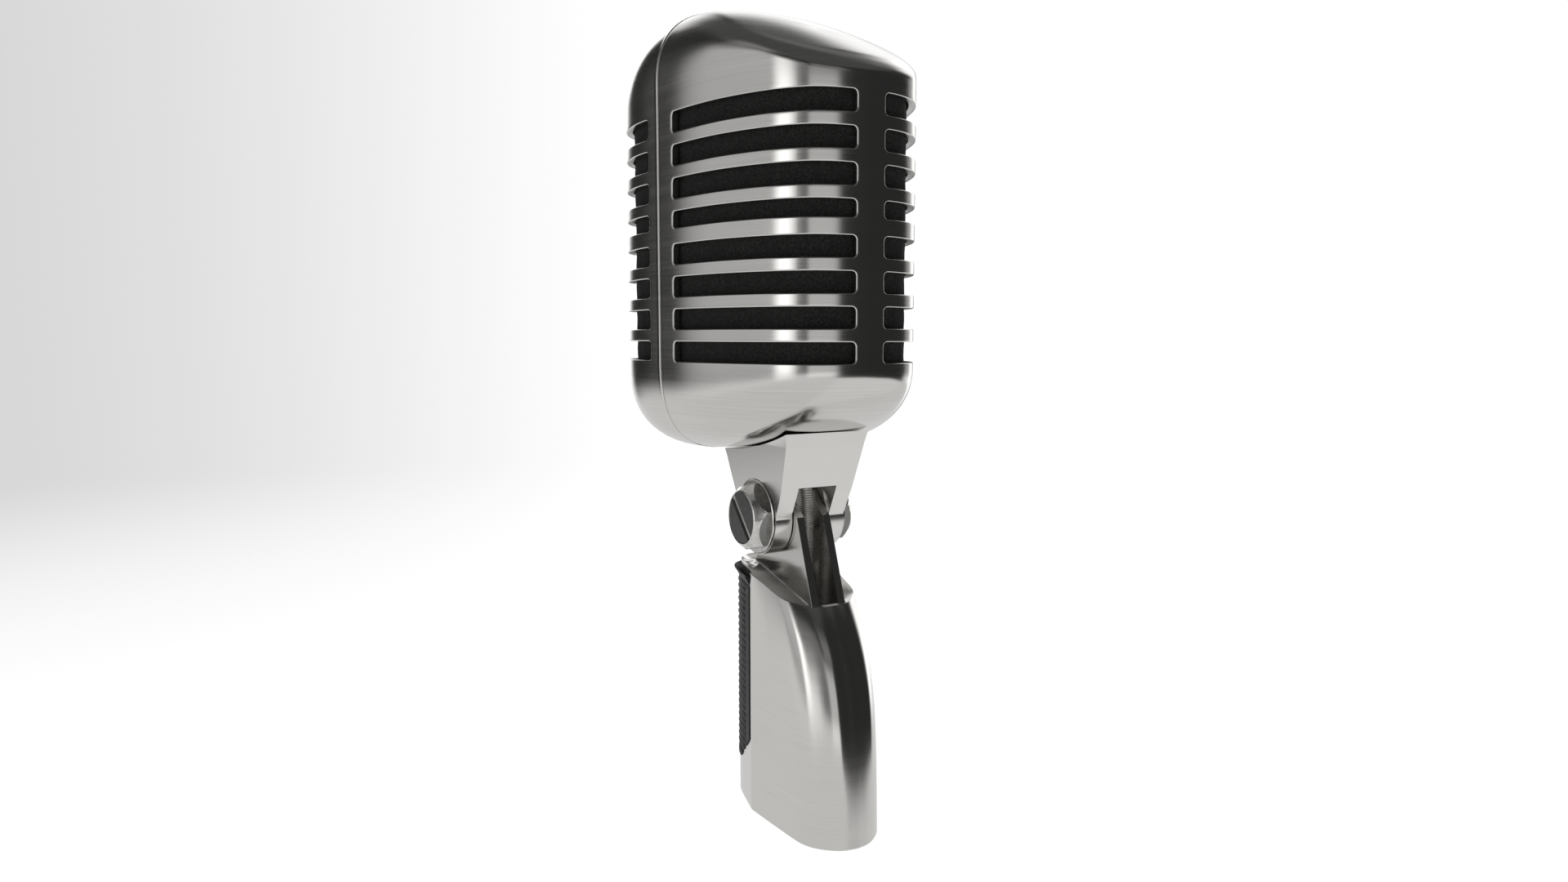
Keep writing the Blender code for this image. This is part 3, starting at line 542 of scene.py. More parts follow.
LEG = 3                         # steps from a slot's block edge to the start of its corner
SLOT_LOOPS = [(0.7, 0.0), (0.3, 0.0), (0.17, 0.02), (0.07, 0.07), (0.015, 0.16), (0.0, 0.3),
              (0.0, SHELL_T - 0.3), (0.06, SHELL_T - 0.08), (0.25, SHELL_T)]


def steps(a, b, count):
    """Even steps from a to b, both ends included."""
    return [a + (b - a) * k / count for k in range(count + 1)]


def half_shell(outline, slot_y, direction, floor_rows, seam_lift=0.0):
    """One half of the head with rounded, bevelled slots, as a closed skin SHELL_T thick."""
    route = Route(relax(spline([(x, y, 0) for x, y in outline], 40), 160))
    s0 = route.where(lambda p: (p.y - slot_y) * direction > 0)
    s1 = route.where(lambda p: p.x < SLOT_END_X)
    edge_a, edge_b = s0 - BAR_HALF, s1 + BAR_HALF
    seam = [(s, dent - seam_lift) for s, dent in ((0.0, 0.30), (0.06, 0.12), (0.18, 0.03))]
    seam.append((0.4, -seam_lift * 0.6))
    columns = seam + [(s, 0.0) for s in steps(0.9, edge_a, 4)]
    first = len(columns) - 1
    columns += [(s, 0.0) for s in steps(edge_a, s0 + SLOT_CORNER, LEG)[1:]]
    columns += [(s, 0.0) for s in steps(s0 + SLOT_CORNER, s1 - SLOT_CORNER, 40)[1:]]
    columns += [(s, 0.0) for s in steps(s1 - SLOT_CORNER, edge_b, LEG)[1:]]
    last = len(columns) - 1
    columns += [(s, 0.0) for s in steps(edge_b, route.total, 3)[1:]]

    rows = [("floor", t) for t in floor_rows]
    rows += [("hip", q) for q in steps(1.0, 0.0, 14)[:-1]]
    blocks = []
    for k in reversed(range(SLOT_COUNT)):
        top = SLOT_TOP_Z - SLOT_PITCH * k
        low = top - (SHORT_SLOT_HEIGHT if k == SHORT_SLOT else SLOT_HEIGHT)
        base, roof = top + BAR_HALF - SLOT_PITCH, top + BAR_HALF
        start = len(rows)
        marks = steps(base, low + SLOT_CORNER, LEG)[:-1]
        marks += steps(low + SLOT_CORNER, top - SLOT_CORNER, 3)[:-1]
        marks += steps(top - SLOT_CORNER, roof, LEG)[:-1]
        rows += [("wall", z) for z in marks]
        blocks.append((start, len(rows), low, top))
    rows.append(("wall", SLOT_TOP_Z + BAR_HALF))
    rows += [("shoulder", q) for q in steps(0.0, 1.0, 14)]
    rows += [("cap", t) for t in steps(1.0, 0.06, 16)[1:]]

    flats = [(route.at(s), route.normal(s), dent) for s, dent in columns]

    def spot(i, j, depth):
        """Grid point at a depth below the skin."""
        flat, normal, dent = flats[i]
        kind, value = rows[j]
        lean = dent if depth == 0 else 0.0
        if kind == "wall":
            q = flat - normal * (depth + lean)
            return (q.x, q.y, value)
        return head_point(flat, kind, value, depth + lean)

    bm = bmesh.new()
    skins = []
    for depth in (0.0, SHELL_T):
        grid = [[bm.verts.new(spot(i, j, depth)) for i in range(len(columns))] for j in range(len(rows))]
        apex = bm.verts.new((0, CORE_Y, cap_height(0, CORE_Y) - depth))
        nadir = bm.verts.new((0, CORE_Y, floor_height(0, CORE_Y) + depth)) if floor_rows[0] < 0.2 else None
        skins.append((grid, apex, nadir))

    in_block = {(i, j) for start, stop, _, _ in blocks
                for j in range(start, stop) for i in range(first, last)}
    for grid, apex, nadir in skins:
        for j in range(len(rows) - 1):
            for i in range(len(columns) - 1):
                if (i, j) not in in_block:
                    bm.faces.new((grid[j][i], grid[j][i + 1], grid[j + 1][i + 1], grid[j + 1][i]))
        for i in range(len(columns) - 1):
            bm.faces.new((grid[-1][i], grid[-1][i + 1], apex))
            if nadir:
                bm.faces.new((grid[0][i + 1], grid[0][i], nadir))

    def around(grid, start, stop):
        """The grid's own points round a slot's block, in the loops' order."""
        top = [grid[stop][i] for i in range(first + LEG, last + 1)]
        right = [grid[j][last] for j in range(stop - 1, start - 1, -1)]
        bottom = [grid[start][i] for i in range(last - 1, first - 1, -1)]
        left = [grid[j][first] for j in range(start + 1, stop + 1)]
        return top + right + bottom + left + [grid[stop][i] for i in range(first + 1, first + LEG)]

    def loop(low, top, out, depth):
        """Rounded rectangle round a slot, out from its edge, at a depth below the skin."""
        reach = SLOT_CORNER + out
        flat_s = [s for s, _ in columns[first + LEG:last - LEG + 1]]
        start, stop = next((a, b) for a, b, lo, _ in blocks if lo == low)
        flat_z = [z for _, z in rows[start + LEG:stop - LEG + 1]]
        arcs = steps(0.0, math.pi / 2, 2 * LEG)[1:-1]
        s_low, s_high = s0 + SLOT_CORNER, s1 - SLOT_CORNER
        z_low, z_high = low + SLOT_CORNER, top - SLOT_CORNER
        marks = [(s, top + out) for s in flat_s]
        marks += [(s_high + reach * math.sin(a), z_high + reach * math.cos(a)) for a in arcs]
        marks += [(s1 + out, z) for z in reversed(flat_z)]
        marks += [(s_high + reach * math.cos(a), z_low - reach * math.sin(a)) for a in arcs]
        marks += [(s, low - out) for s in reversed(flat_s)]
        marks += [(s_low - reach * math.sin(a), z_low - reach * math.cos(a)) for a in arcs]
        marks += [(s0 - out, z) for z in flat_z]
        marks += [(s_low - reach * math.cos(a), z_high + reach * math.sin(a)) for a in arcs]
        ring = []
        for s, z in marks:
            q = route.at(s) - route.normal(s) * depth
            ring.append(bm.verts.new((q.x, q.y, z)))
        return ring

    for start, stop, low, top in blocks:
        rings = [around(skins[0][0], start, stop)]
        rings += [loop(low, top, out, depth) for out, depth in SLOT_LOOPS]
        rings.append(around(skins[1][0], start, stop))
        for a, b in zip(rings, rings[1:]):
            for k in range(len(a)):
                m = (k + 1) % len(a)
                bm.faces.new((a[k], a[m], b[m], b[k]))

    (out, apex0, nadir0), (inn, apex1, nadir1) = skins
    for j in range(len(rows) - 1):
        bm.faces.new((out[j][0], out[j + 1][0], inn[j + 1][0], inn[j][0]))
    bm.faces.new((out[-1][0], apex0, apex1, inn[-1][0]))
    if nadir0:
        bm.faces.new((out[0][0], nadir0, nadir1, inn[0][0]))
    else:
        for i in range(len(columns) - 1):
            bm.faces.new((out[0][i], out[0][i + 1], inn[0][i + 1], inn[0][i]))
    mirror(bm)
    for vert in bm.verts:
        vert.co.y += SEAM_GAP * direction
    return bm


def mirror(bm):
    """Add the left-hand half, and sew the two along the middle plane."""
    twin = bmesh.ops.duplicate(bm, geom=bm.verts[:] + bm.edges[:] + bm.faces[:])["geom"]
    faces = [item for item in twin if isinstance(item, bmesh.types.BMFace)]
    for item in twin:
        if isinstance(item, bmesh.types.BMVert):
            item.co.x = -item.co.x
    bmesh.ops.reverse_faces(bm, faces=faces)
    middle = [vert for vert in bm.verts if abs(vert.co.x) < 1e-5]
    bmesh.ops.remove_doubles(bm, verts=middle, dist=1e-4)


def head():
    """Both shells and their foam liners."""
    rear = half_shell(REAR_OUTLINE, 0.4, 1.0, steps(0.5, 1.0, 5)[:-1])
    piece("rear_shell_skin", rear, MATS["shell"], "head", ["rear_shell"], 60)
    front = half_shell(FRONT_OUTLINE, -9.8, -1.0, steps(0.12, 1.0, 9)[:-1], 0.12)
    piece("front_shell_skin", front, MATS["shell"], "head", ["front_shell"], 60)
    for name, outline, side in (("rear_foam", REAR_OUTLINE, 1.0), ("front_foam", FRONT_OUTLINE, -1.0)):
        piece(name + "_liner", foam_liner(outline, side), MATS["foam"], "head", [name])


def foam_liner(outline, direction):
    """Sleeve of foam behind the slots, softly uneven."""
    route = Route(relax(spline([(x, y, 0) for x, y in outline], 40), 160))
    marks = steps(0.4, route.total, 60)
    plan = [(route.at(s), route.normal(s)) for s in marks]
    plan += [(Vector((-p.x, p.y, 0)), Vector((-n.x, n.y, 0))) for p, n in plan[-2::-1]]
    rings = []
    for depth in (SHELL_T + 0.35, SHELL_T + 2.6):
        for z in steps(101.5, 161.0, 40) if depth < 3 else steps(161.0, 101.5, 40):
            ring = []
            for p, n in plan:
                swell = 0.12 * math.sin(p.x * 0.9 + z * 0.7) * math.sin(p.y * 0.8 - z * 0.5)
                q = p - n * (depth + (swell if depth < 3 else 0))
                ring.append((q.x, q.y + 0.3 * direction, z))
            rings.append(ring)
    return loft_strip(rings)


def loft_strip(rings):
    """Closed solid from a folded strip: rings go up one face and down the other."""
    bm = bmesh.new()
    rows = [[bm.verts.new(p) for p in ring] for ring in rings]
    for low, high in zip(rows, rows[1:] + rows[:1]):
        for i in range(len(low) - 1):
            bm.faces.new((low[i], low[i + 1], high[i + 1], high[i]))
    half = len(rows) // 2
    for k in range(half - 1):
        for i in (0, -1):
            bm.faces.new((rows[k][i], rows[k + 1][i], rows[-k - 2][i], rows[-k - 1][i]))
    return bm


# ------------------------------------------------------------------ neck and swivel
def ear_outline():
    """Round end of the clevis ears."""
    return arc_round_pivot(EAR_R, 174, 365 - 174, 48)


def neck():
    """Clevis block with a flared top, round-ended ears and spot faces for the bolts."""
    front = [(-6.3, 82.0), (-5.2, 79.0)]
    back = [(18.6, 76.0), (20.9, 82.5), (22.1, 86.0)]
    top = []
    for y in steps(23.1, -7.2, 16):
        top.append((y, floor_height(0, y) - 0.25))
    block = solid("neck", prism_x(front + ear_outline() + back + top, -14, 14))
    right = [(10.9, 91.0), (10.1, 86.5), (9.6, 80.0), (9.15, 74.0), (EAR_OUT + 0.1, 69.0),
             (EAR_OUT + 0.1, 55.0)]
    taper = right + [(-x, z) for x, z in reversed(right)]
    combine(block, loft([[(x, y, z) for x, z in taper] for y in (-15, 30)]), "INTERSECT")
    combine(block, box(-EAR_IN, EAR_IN, -12, 28, 50, PIVOT_Z + CLEVIS_ROOF))
    for side in (-1, 1):
        combine(block, turned([(8.8, side * EAR_OUT), (8.8, side * 13)], PIVOT, "X", 96))
    combine(block, turned([(2.85, -15), (2.85, 15)], PIVOT, "X", 48))
    combine(block, turned([(2.2, 70), (2.2, 92)], (0, 13.4, 0), "Z", 32))
    bevel(block, 0.35, 3)
    for side in (-1, 1):
        near, deep = side * (TONGUE_X + 0.18), side * (EAR_IN + 0.3)
        rim = [(6.7, near), (8.4, near), (8.5, near + side * 0.1), (8.5, deep), (6.7, deep)]
        combine(block, turned(rim, PIVOT, "X", 96), "UNION")
    finished(block, "neck_clevis", MATS["block"], "head", ["neck_block"])


def bolt(name, side, body):
    """Large slotted bolt: a cone cuts its six flats into arcs; its dark face carries the slot."""
    foot, face = EAR_OUT + 0.08, 13.2
    dome = [(8.55, 9.6), (8.4, 10.15), (8.05, 10.8), (7.6, 11.45), (7.1, 12.1), (6.6, 12.7), (6.35, 12.98),
            (6.2, 13.13), (6.05, face), (5.98, face), (5.92, face - 0.08), (5.88, face - 0.4)]
    blank = solid(name, turned([(r, side * a) for r, a in [(8.55, foot + 0.2)] + dome], PIVOT, "X", 144))
    hexagon = circle(7.1 / math.cos(math.pi / 6), 6, math.radians(15))
    ring = [[(side * x, PIVOT_Y + u, PIVOT_Z + v) for u, v in hexagon] for x in (foot - 1, 15)]
    combine(blank, loft(ring), "INTERSECT")
    bevel(blank, 0.13, 2, 22)
    combine(blank, turned([(2.4, side * 1.0), (2.4, side * 9.6)], PIVOT, "X", 48), "UNION")
    finished(blank, name + "_head", MATS["bolt"], body, [name], 30)
    repaint(blank, MATS["bolt_flat"], lambda spots, normal: abs(normal.x) < 0.05 and all(
        math.hypot(p.y - PIVOT_Y, p.z - PIVOT_Z) < 8.3 and abs(p.x) > foot + 0.1 for p in spots))
    rim = [(2.6, foot), (8.3, foot), (8.45, foot + 0.12), (8.45, foot + 0.38), (8.28, foot + 0.52),
           (2.6, foot + 0.52)]
    flange = solid(name + "_flange", turned([(r, side * a) for r, a in rim], PIVOT, "X", 120))
    finished(flange, name + "_flange", MATS["bolt"], body, (), 30)
    disc = [(0.3, face - 0.6), (5.84, face - 0.6), (5.84, face - 0.14), (5.72, face - 0.03),
            (0.3, face - 0.03)]
    plate = solid(name + "_disc", turned([(r, side * a) for r, a in disc], PIVOT, "X", 96))
    slot = box(-7, 7, -0.9, 0.9, face - 0.45, face + 1)
    turn = Matrix.Rotation(math.radians(-47), 4, "Z")
    for vert in slot.verts:
        q = turn @ vert.co
        vert.co = (side * q.z, PIVOT_Y + q.x, PIVOT_Z + q.y)
    combine(plate, slot)
    bevel(plate, 0.08, 2, 40)
    finished(plate, name + "_face", MATS["bolt_face"], body, (), 30)


# ------------------------------------------------------------------ conduit
CONDUIT_ROUTE = [(0, -0.9, 106), (0, -0.9, 98), (0, -0.9, 92), (0, 2.5, 86), (0, 10.5, 80.5), (0, 13.9, 75.5),
                 (0, 14.4, 70), (0, 14.3, 62), (0, 14.0, 56), (0, 13.4, 49), (0, 13.0, 44)]


def conduit():
    """Ribbed flexible sleeve, bent along one fixed path."""
    route = Route(spline(CONDUIT_ROUTE, 24))
    pitch = 0.5
    side = Vector((1, 0, 0))
    wave = [(0.0, 1.32), (0.18, 1.41), (0.36, 1.5), (0.64, 1.5), (0.82, 1.41)]
    rings = []
    for k in range(int(route.total / pitch)):
        for share, radius in wave:
            s = (k + share) * pitch
            spot = route.at(s)
            ahead = (route.at(min(s + 0.3, route.total)) - route.at(max(s - 0.3, 0))).normalized()
            up = ahead.cross(side)
            rings.append([spot + side * u + up * v for u, v in circle(radius, 20)])
    tube = piece("conduit_sleeve", loft(rings), MATS["conduit"], None, ["conduit"], 60)
    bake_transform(tube)


# ------------------------------------------------------------------ base
def nose_depth(z):
    """Depth of the base's rear middle at a height."""
    return 36.1 - 0.03 * z - 9.95 * (z / 51.5) ** 4


def rim_height(y):
    """Top edge of the base: low at the rear, rising to the front lip."""
    return RIM_LOW + 6.4 * clamp((24.5 - y) / 21.5)


def ridge_height(y):
    """Foot of the tongue's side, inside the rim."""
    return RIM_LOW + 5.8 * clamp((22.4 - y) / 23.7)


def base_plan(count_rear=48, count_front=30):
    """Right-hand half outline of the base at its foot, from the rear middle to the front middle."""
    rear = Route(relax(spline([(x, y, 0) for x, y in BASE_REAR], 24), 50, False))
    front = Route(relax(spline([(x, y, 0) for x, y in BASE_FRONT], 24), 30, False))
    spots = [rear.at(s) for s in steps(0, rear.total, count_rear)]
    spots += [front.at(s) for s in steps(0, front.total, count_front)][1:]
    return [(p.x, p.y) for p in spots]


def base_spot(x, y, z):
    """The outline point carried up to a height: the rear leans forward, narrows and squares up."""
    if y <= BASE_EDGE_Y:
        return (x, y, z)
    share = (nose_depth(z) - BASE_EDGE_Y) / (BASE_REAR[0][1] - BASE_EDGE_Y)
    if y > 26.0:
        rise = clamp((z - 6.0) / 26.0)
        across = clamp((abs(x) - 1.2) / 7.0)
        y += 0.85 * rise * rise * (3 - 2 * rise) * math.sin(math.pi * across) ** 2
    narrow = 0.04 * max(z - 30.0, 0.0) / 22.0 * min((y - BASE_EDGE_Y) / 8.0, 1.0)
    return (x * (1.0 - narrow), BASE_EDGE_Y + (y - BASE_EDGE_Y) * share, z)


def full_ring(half):
    """Right-hand half outline made whole."""
    return half + [(-x, y) for x, y in half[-2:0:-1]]


def base_skin():
    """Outside of the base with its troughed top, closed across the middle."""
    plan = full_ring(base_plan())
    rings = []
    for z, inset in ((0.0, 0.45), (0.12, 0.18), (0.45, 0.0)):
        rings.append([(x * (1 - inset / 11), 12 + (y - 12) * (1 - inset / 22), z) for x, y in plan])
    for z in steps(2.0, WALL_TOP, 45):
        rings.append([base_spot(x, y, z) for x, y in plan])
    rim = []
    for x, y in plan:
        top = base_spot(x, y, RIM_LOW)
        rim.append(base_spot(x, y, rim_height(top[1])))
    for share in (0.3, 0.6, 0.85, 0.97):
        rings.append([base_spot(x, y, WALL_TOP + (spot[2] - WALL_TOP) * share)
                      for (x, y), spot in zip(plan, rim)])
    rings.append(rim)
    for share in (0.02, 0.05) + tuple(steps(0.12, 1.0, 12)):
        ring = []
        for x, y, z in rim:
            side = 1 if x > 0 else -1
            inner = (side * min(abs(x), TONGUE_X - 0.05), min(max(y, -1.75), 23.4))
            gap = math.hypot(x - inner[0], y - inner[1])
            hollow = 0.04 + 0.16 * clamp((5.0 - inner[1]) / 6.0)
            sag = hollow * gap * 4 * share * (1 - share)
            foot = ridge_height(inner[1])
            height = z + (min(foot, z) - z) * share - sag
            ring.append((x + (inner[0] - x) * share, y + (inner[1] - y) * share, height))
        rings.append(ring)
    foot = rings.pop()
    for out, up in ((0.30, 0.0), (0.26, 0.12), (0.16, 0.2), (0.0, 0.2)):
        rings.append([(x + math.copysign(out, x) if abs(x) > 1 else x, y, z + up) for x, y, z in foot])
    bm = loft(rings, caps=False)
    bm.verts.ensure_lookup_table()
    for level in (0, len(rings) - 1):
        close_strips(bm, len(plan), level)
    return bm


def base():
    """Cast base: sculpted sides, troughed top and the channelled swivel tongue."""
    body = solid("base", base_skin())
    tongue = solid("tongue", prism_x(tongue_outline(), -TONGUE_X, TONGUE_X))
    bevel(tongue, 0.12, 2)
    combine(body, tongue, "UNION")
    combine(body, channel())
    combine(body, turned([(8.75, -2), (8.75, 13.0), (6.5, 13.0), (6.5, 16)], (0, STAND_Y, 0), "Z", 96))
    combine(body, turned([(8.45, -2), (8.45, 20)], (0, CONNECTOR_Y, 0), "Z", 96))
    combine(body, turned([(2.75, -8), (2.75, 8)], PIVOT, "X", 48))
    seat = solid("seat", plate_band(PLATE_SEAT - 0.05, 4.0, PLATE_LOW - 0.1, 62.0))
    combine(seat, prism_x([(y, z - 0.1) for y, z in PLATE_CORNER], -14, 14))
    combine(body, seat)
    combine(body, box(*SWITCH_POCKET))
    combine(body, box(*SWITCH_CAVITY))
    finished(body, "base_body", MATS["cast"], "base", ["base_casting"], 32)
    repaint(body, MATS["raw"], lambda spots, normal: all(
        abs(p.x) < CHANNEL_X + 0.05 and p.z > 46 and 4 < p.y < 25 for p in spots))


def close_strips(bm, count, level):
    """Close a mirrored ring with strips across the middle plane."""
    ring = [bm.verts[level * count + i] for i in range(count)]
    for i in range(count // 2):
        corners = []
        for vert in (ring[i], ring[i + 1], ring[-i - 1], ring[-i]):
            if vert not in corners:
                corners.append(vert)
        bm.faces.new(corners)


def tongue_outline():
    """Side view of the swivel tongue, from its root to its round end."""
    arc = arc_round_pivot(TONGUE_R, 190, -135, 32)
    root = [(-1.8, 57.4), (-1.8, 46.0), (23.7, 46.0), (23.7, 51.2), (17.1, 70.0)]
    return [root[0]] + arc + root[:0:-1]


def channel():
    """Rear-open channel down the tongue, with a curved ramp out to its sill."""
    arc = arc_round_pivot(WEB_R, -40, 130, 24)
    ramp = [(p.x, p.y) for p in spline([(23.9, 51.5), (20.6, 50.0), (17.6, 47.0), (16.2, 43.0)], 8)]
    outline = [(-8, 80), (30, 80), (30, 51.5)] + ramp + [(16.2, 41.0), (10.6, 41.0), (10.6, 58.0)] + arc
    outline.append((-8, PIVOT_Z + WEB_R))
    return prism_x(outline, -CHANNEL_X, CHANNEL_X)


# ------------------------------------------------------------------ front plate
def plate_route():
    """Outline under the plate, from its side edge to the front middle."""
    return Route([Vector((x, y, 0)) for x, y in base_plan(8, 90) if y < PLATE_END_Y])


def plate_band(inner, outer, low, high):
    """Band wrapped round the front of the base, for the seat that takes the plate."""
    route = plate_route()
    near, far = [], []
    for s in steps(0.0, route.total, 40):
        p, n = route.at(s), route.normal(s)
        near.append(p + n * inner)
        far.append(p + n * outer)
    near[-1].x = far[-1].x = 0.0
    loop = near + [Vector((-p.x, p.y, 0)) for p in near[-2::-1]]
    back = far + [Vector((-p.x, p.y, 0)) for p in far[-2::-1]]
    ring = loop + back[::-1]
    return loft([[(p.x, p.y, z) for p in ring] for z in (low, high)])


def front_plate():
    """Black ribbed plate wrapped round the base front, with a plain border and a curled top."""
    route = plate_route()
    pitch = (RIBS_HIGH - RIBS_LOW) / RIB_COUNT
    wave = ((0.04, 0.0), (0.34, 0.0), (0.42, 0.6), (0.5, 0.94), (0.62, 1.0), (0.74, 0.94),
            (0.84, 0.5), (0.92, 0.06))
    profile = [(PLATE_LOW, 0.15, 0), (PLATE_LOW + 0.2, 0.33, 0), (PLATE_LOW + 1.6, 0.3, 0),
               (RIBS_LOW - 0.1, -0.05, 0)]
    for k in range(RIB_COUNT):
        profile += [(RIBS_LOW + pitch * (k + u), -0.37 + 0.7 * h, 1) for u, h in wave]
    profile += [(53.3, 0.1, 0), (53.9, 0.3, 0), (54.5, 0.6, 0), (55.1, 0.95, 0), (55.5, 1.25, 0)]
    marks = [0.0, 0.06, 0.18] + steps(0.35, PLATE_BORDER - 0.3, 4)
    marks += [PLATE_BORDER - 0.12, PLATE_BORDER, PLATE_BORDER + 0.12]
    marks += steps(PLATE_BORDER + 0.3, route.total, 26)
    bm = bmesh.new()
    far, near = [], []
    for z, out, ribbed in profile:
        curl = max(z - 53.4, 0.0)
        far_row, near_row = [], []
        for s in marks:
            height = out
            if ribbed and s < PLATE_BORDER:
                height = 0.28
            if ribbed and abs(s - PLATE_BORDER) < 0.05:
                height = max(out, 0.1)
            if s < 0.1:
                height = min(height, 0.28) - (0.2 if s < 0.03 else 0.05)
            p, n = route.at(s), route.normal(s)
            if s == marks[-1]:
                p, n = Vector((0.0, p.y, 0)), Vector((0, -1, 0))
            row_z = Vector((0, 0, z))
            far_row.append(bm.verts.new(p + n * height + row_z))
            near_row.append(bm.verts.new(p + n * (PLATE_SEAT + 0.6 * curl) + row_z))
        far.append(far_row)
        near.append(near_row)
    count = len(marks)
    for j in range(len(profile) - 1):
        for i in range(count - 1):
            bm.faces.new((far[j][i], far[j][i + 1], far[j + 1][i + 1], far[j + 1][i]))
            bm.faces.new((near[j][i + 1], near[j][i], near[j + 1][i], near[j + 1][i + 1]))
        bm.faces.new((far[j][0], near[j][0], near[j + 1][0], far[j + 1][0]))
    for j in (0, len(profile) - 1):
        for i in range(count - 1):
            bm.faces.new((far[j][i], far[j][i + 1], near[j][i + 1], near[j][i]))
    mirror(bm)
    plate = solid("plate", bm)
    combine(plate, prism_x(PLATE_CORNER, -14, 14))
    combine(plate, box(-2.6, 2.6, -14, -6, 25.5, 36.5))
    for z in PLATE_SCREWS_Z:
        combine(plate, turned([(1.15, -12), (1.15, -3)], (0, 0, z), "Y", 32))
    finished(plate, "ribbed_plate", MATS["plastic"], "base", ["front_plate"], 40)


def plate_screws():
    """Domed slotted heads of the two plate screws."""
    for name in ("plate_screw_bottom", "plate_screw_top"):
        low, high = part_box(name)
        radius = (high.x - low.x) / 2 / MM
        front = low.y / MM + STAND_Y
        z = (low.z + high.z) / 2 / MM
        dome = [(0.85, -7.0), (0.85, -9.18), (radius, -9.18), (radius, front + 0.5),
                (radius * 0.94, front + 0.28), (radius * 0.7, front + 0.1),
                (radius * 0.4, front + 0.02), (0.1, front)]
        screw = solid(name, turned(dome, (0, 0, z), "Y", 40))
        combine(screw, box(-3, 3, front - 1, front + 0.35, z - 0.18, z + 0.18))
        finished(screw, name + "_head", MATS["steel"], "base", [name])


def switch_thumb():
    """Slide switch thumb with grip grooves, on its carrier."""
    thumb = solid("thumb", box(-1.6, 1.6, -10.3, -6.3, 26.6, 30.6))
    combine(thumb, box(-1.9, 1.9, -6.7, -4.9, 25.7, 31.5), "UNION")
    for z in (27.5, 28.3, 29.1, 29.9):
        combine(thumb, box(-3, 3, -11, -10.05, z - 0.14, z + 0.14))
    bevel(thumb, 0.08, 2)
    finished(thumb, "switch_thumb", MATS["knob"], "switch", ["switch_slider"])


# ------------------------------------------------------------------ stage
def rise_to(degrees):
    """Height on the unit sphere of an elevation; beyond the poles it runs on in a straight line."""
    if abs(degrees) < 90:
        return math.sin(math.radians(degrees))
    return degrees / 90.0


class Sky:
    """Soft studio cards painted on the world, for what the metal mirrors."""

    def __init__(self, tree, source="Generated", centre=(0.0, 0.0, 0.0)):
        """Split the direction from the centre into a height and a level heading."""
        self.tree = tree
        self.total = None
        coords = added(tree, "TexCoord")
        shift = added(tree, "VectorMath", [(0, coords.outputs[source]), (1, centre)], operation="SUBTRACT")
        self.ray = shift.outputs[0]
        self.up = added(tree, "SeparateXYZ", [(0, self.ray)]).outputs["Z"]
        flat = added(tree, "VectorMath", [(0, self.ray), (1, (1, 1, 0))], operation="MULTIPLY")
        self.level = added(tree, "VectorMath", [(0, flat.outputs[0])], operation="NORMALIZE").outputs[0]

    def window(self, source, low, high):
        """Soft step from 0 at low to 1 at high."""
        node = added(self.tree, "MapRange", [("From Min", low), ("From Max", high), ("Value", source)],
                     interpolation_type="SMOOTHSTEP")
        return node.outputs["Result"]

    def math(self, operation, a, b):
        """One sum on sockets or plain numbers."""
        return added(self.tree, "Math", [(0, a), (1, b)], operation=operation).outputs[0]

    def across(self, azimuth):
        """Cosine of the angle from an azimuth."""
        a = math.radians(azimuth)
        toward = (math.cos(a), math.sin(a), 0)
        node = added(self.tree, "VectorMath", [(0, self.level), (1, toward)], operation="DOT_PRODUCT")
        return node.outputs["Value"]

    def card(self, azimuth, half_width, low, high, strength, soft=6.0, soft_up=6.0):
        """A rectangle of light, given in degrees round and up, with soft edges."""
        wide = 1.0
        if half_width < 180:
            wide = self.window(self.across(azimuth), math.cos(math.radians(half_width + soft)),
                               math.cos(math.radians(max(half_width - soft, 0.0))))
        rise = self.window(self.up, rise_to(low - soft_up), rise_to(low + soft_up))
        fall = self.window(self.up, rise_to(high + soft_up), rise_to(high - soft_up))
        tall = self.math("MULTIPLY", fall, strength)
        part = self.math("MULTIPLY", self.math("MULTIPLY", wide, rise), tall)
        self.total = part if self.total is None else self.math("ADD", self.total, part)


def painted_side_shade(sky):
    """Painted shade for the backdrop and the floor: light grey far off to one side, white elsewhere."""
    length = added(sky.tree, "VectorMath", [(0, sky.ray)], operation="LENGTH")
    far = sky.window(length.outputs["Value"], 0.2, 1.0)
    grey = sky.math("MULTIPLY", sky.window(sky.across(-50), 0.36, 0.96), far)
    return sky.math("SUBTRACT", 1.06, sky.math("MULTIPLY", grey, 0.42))


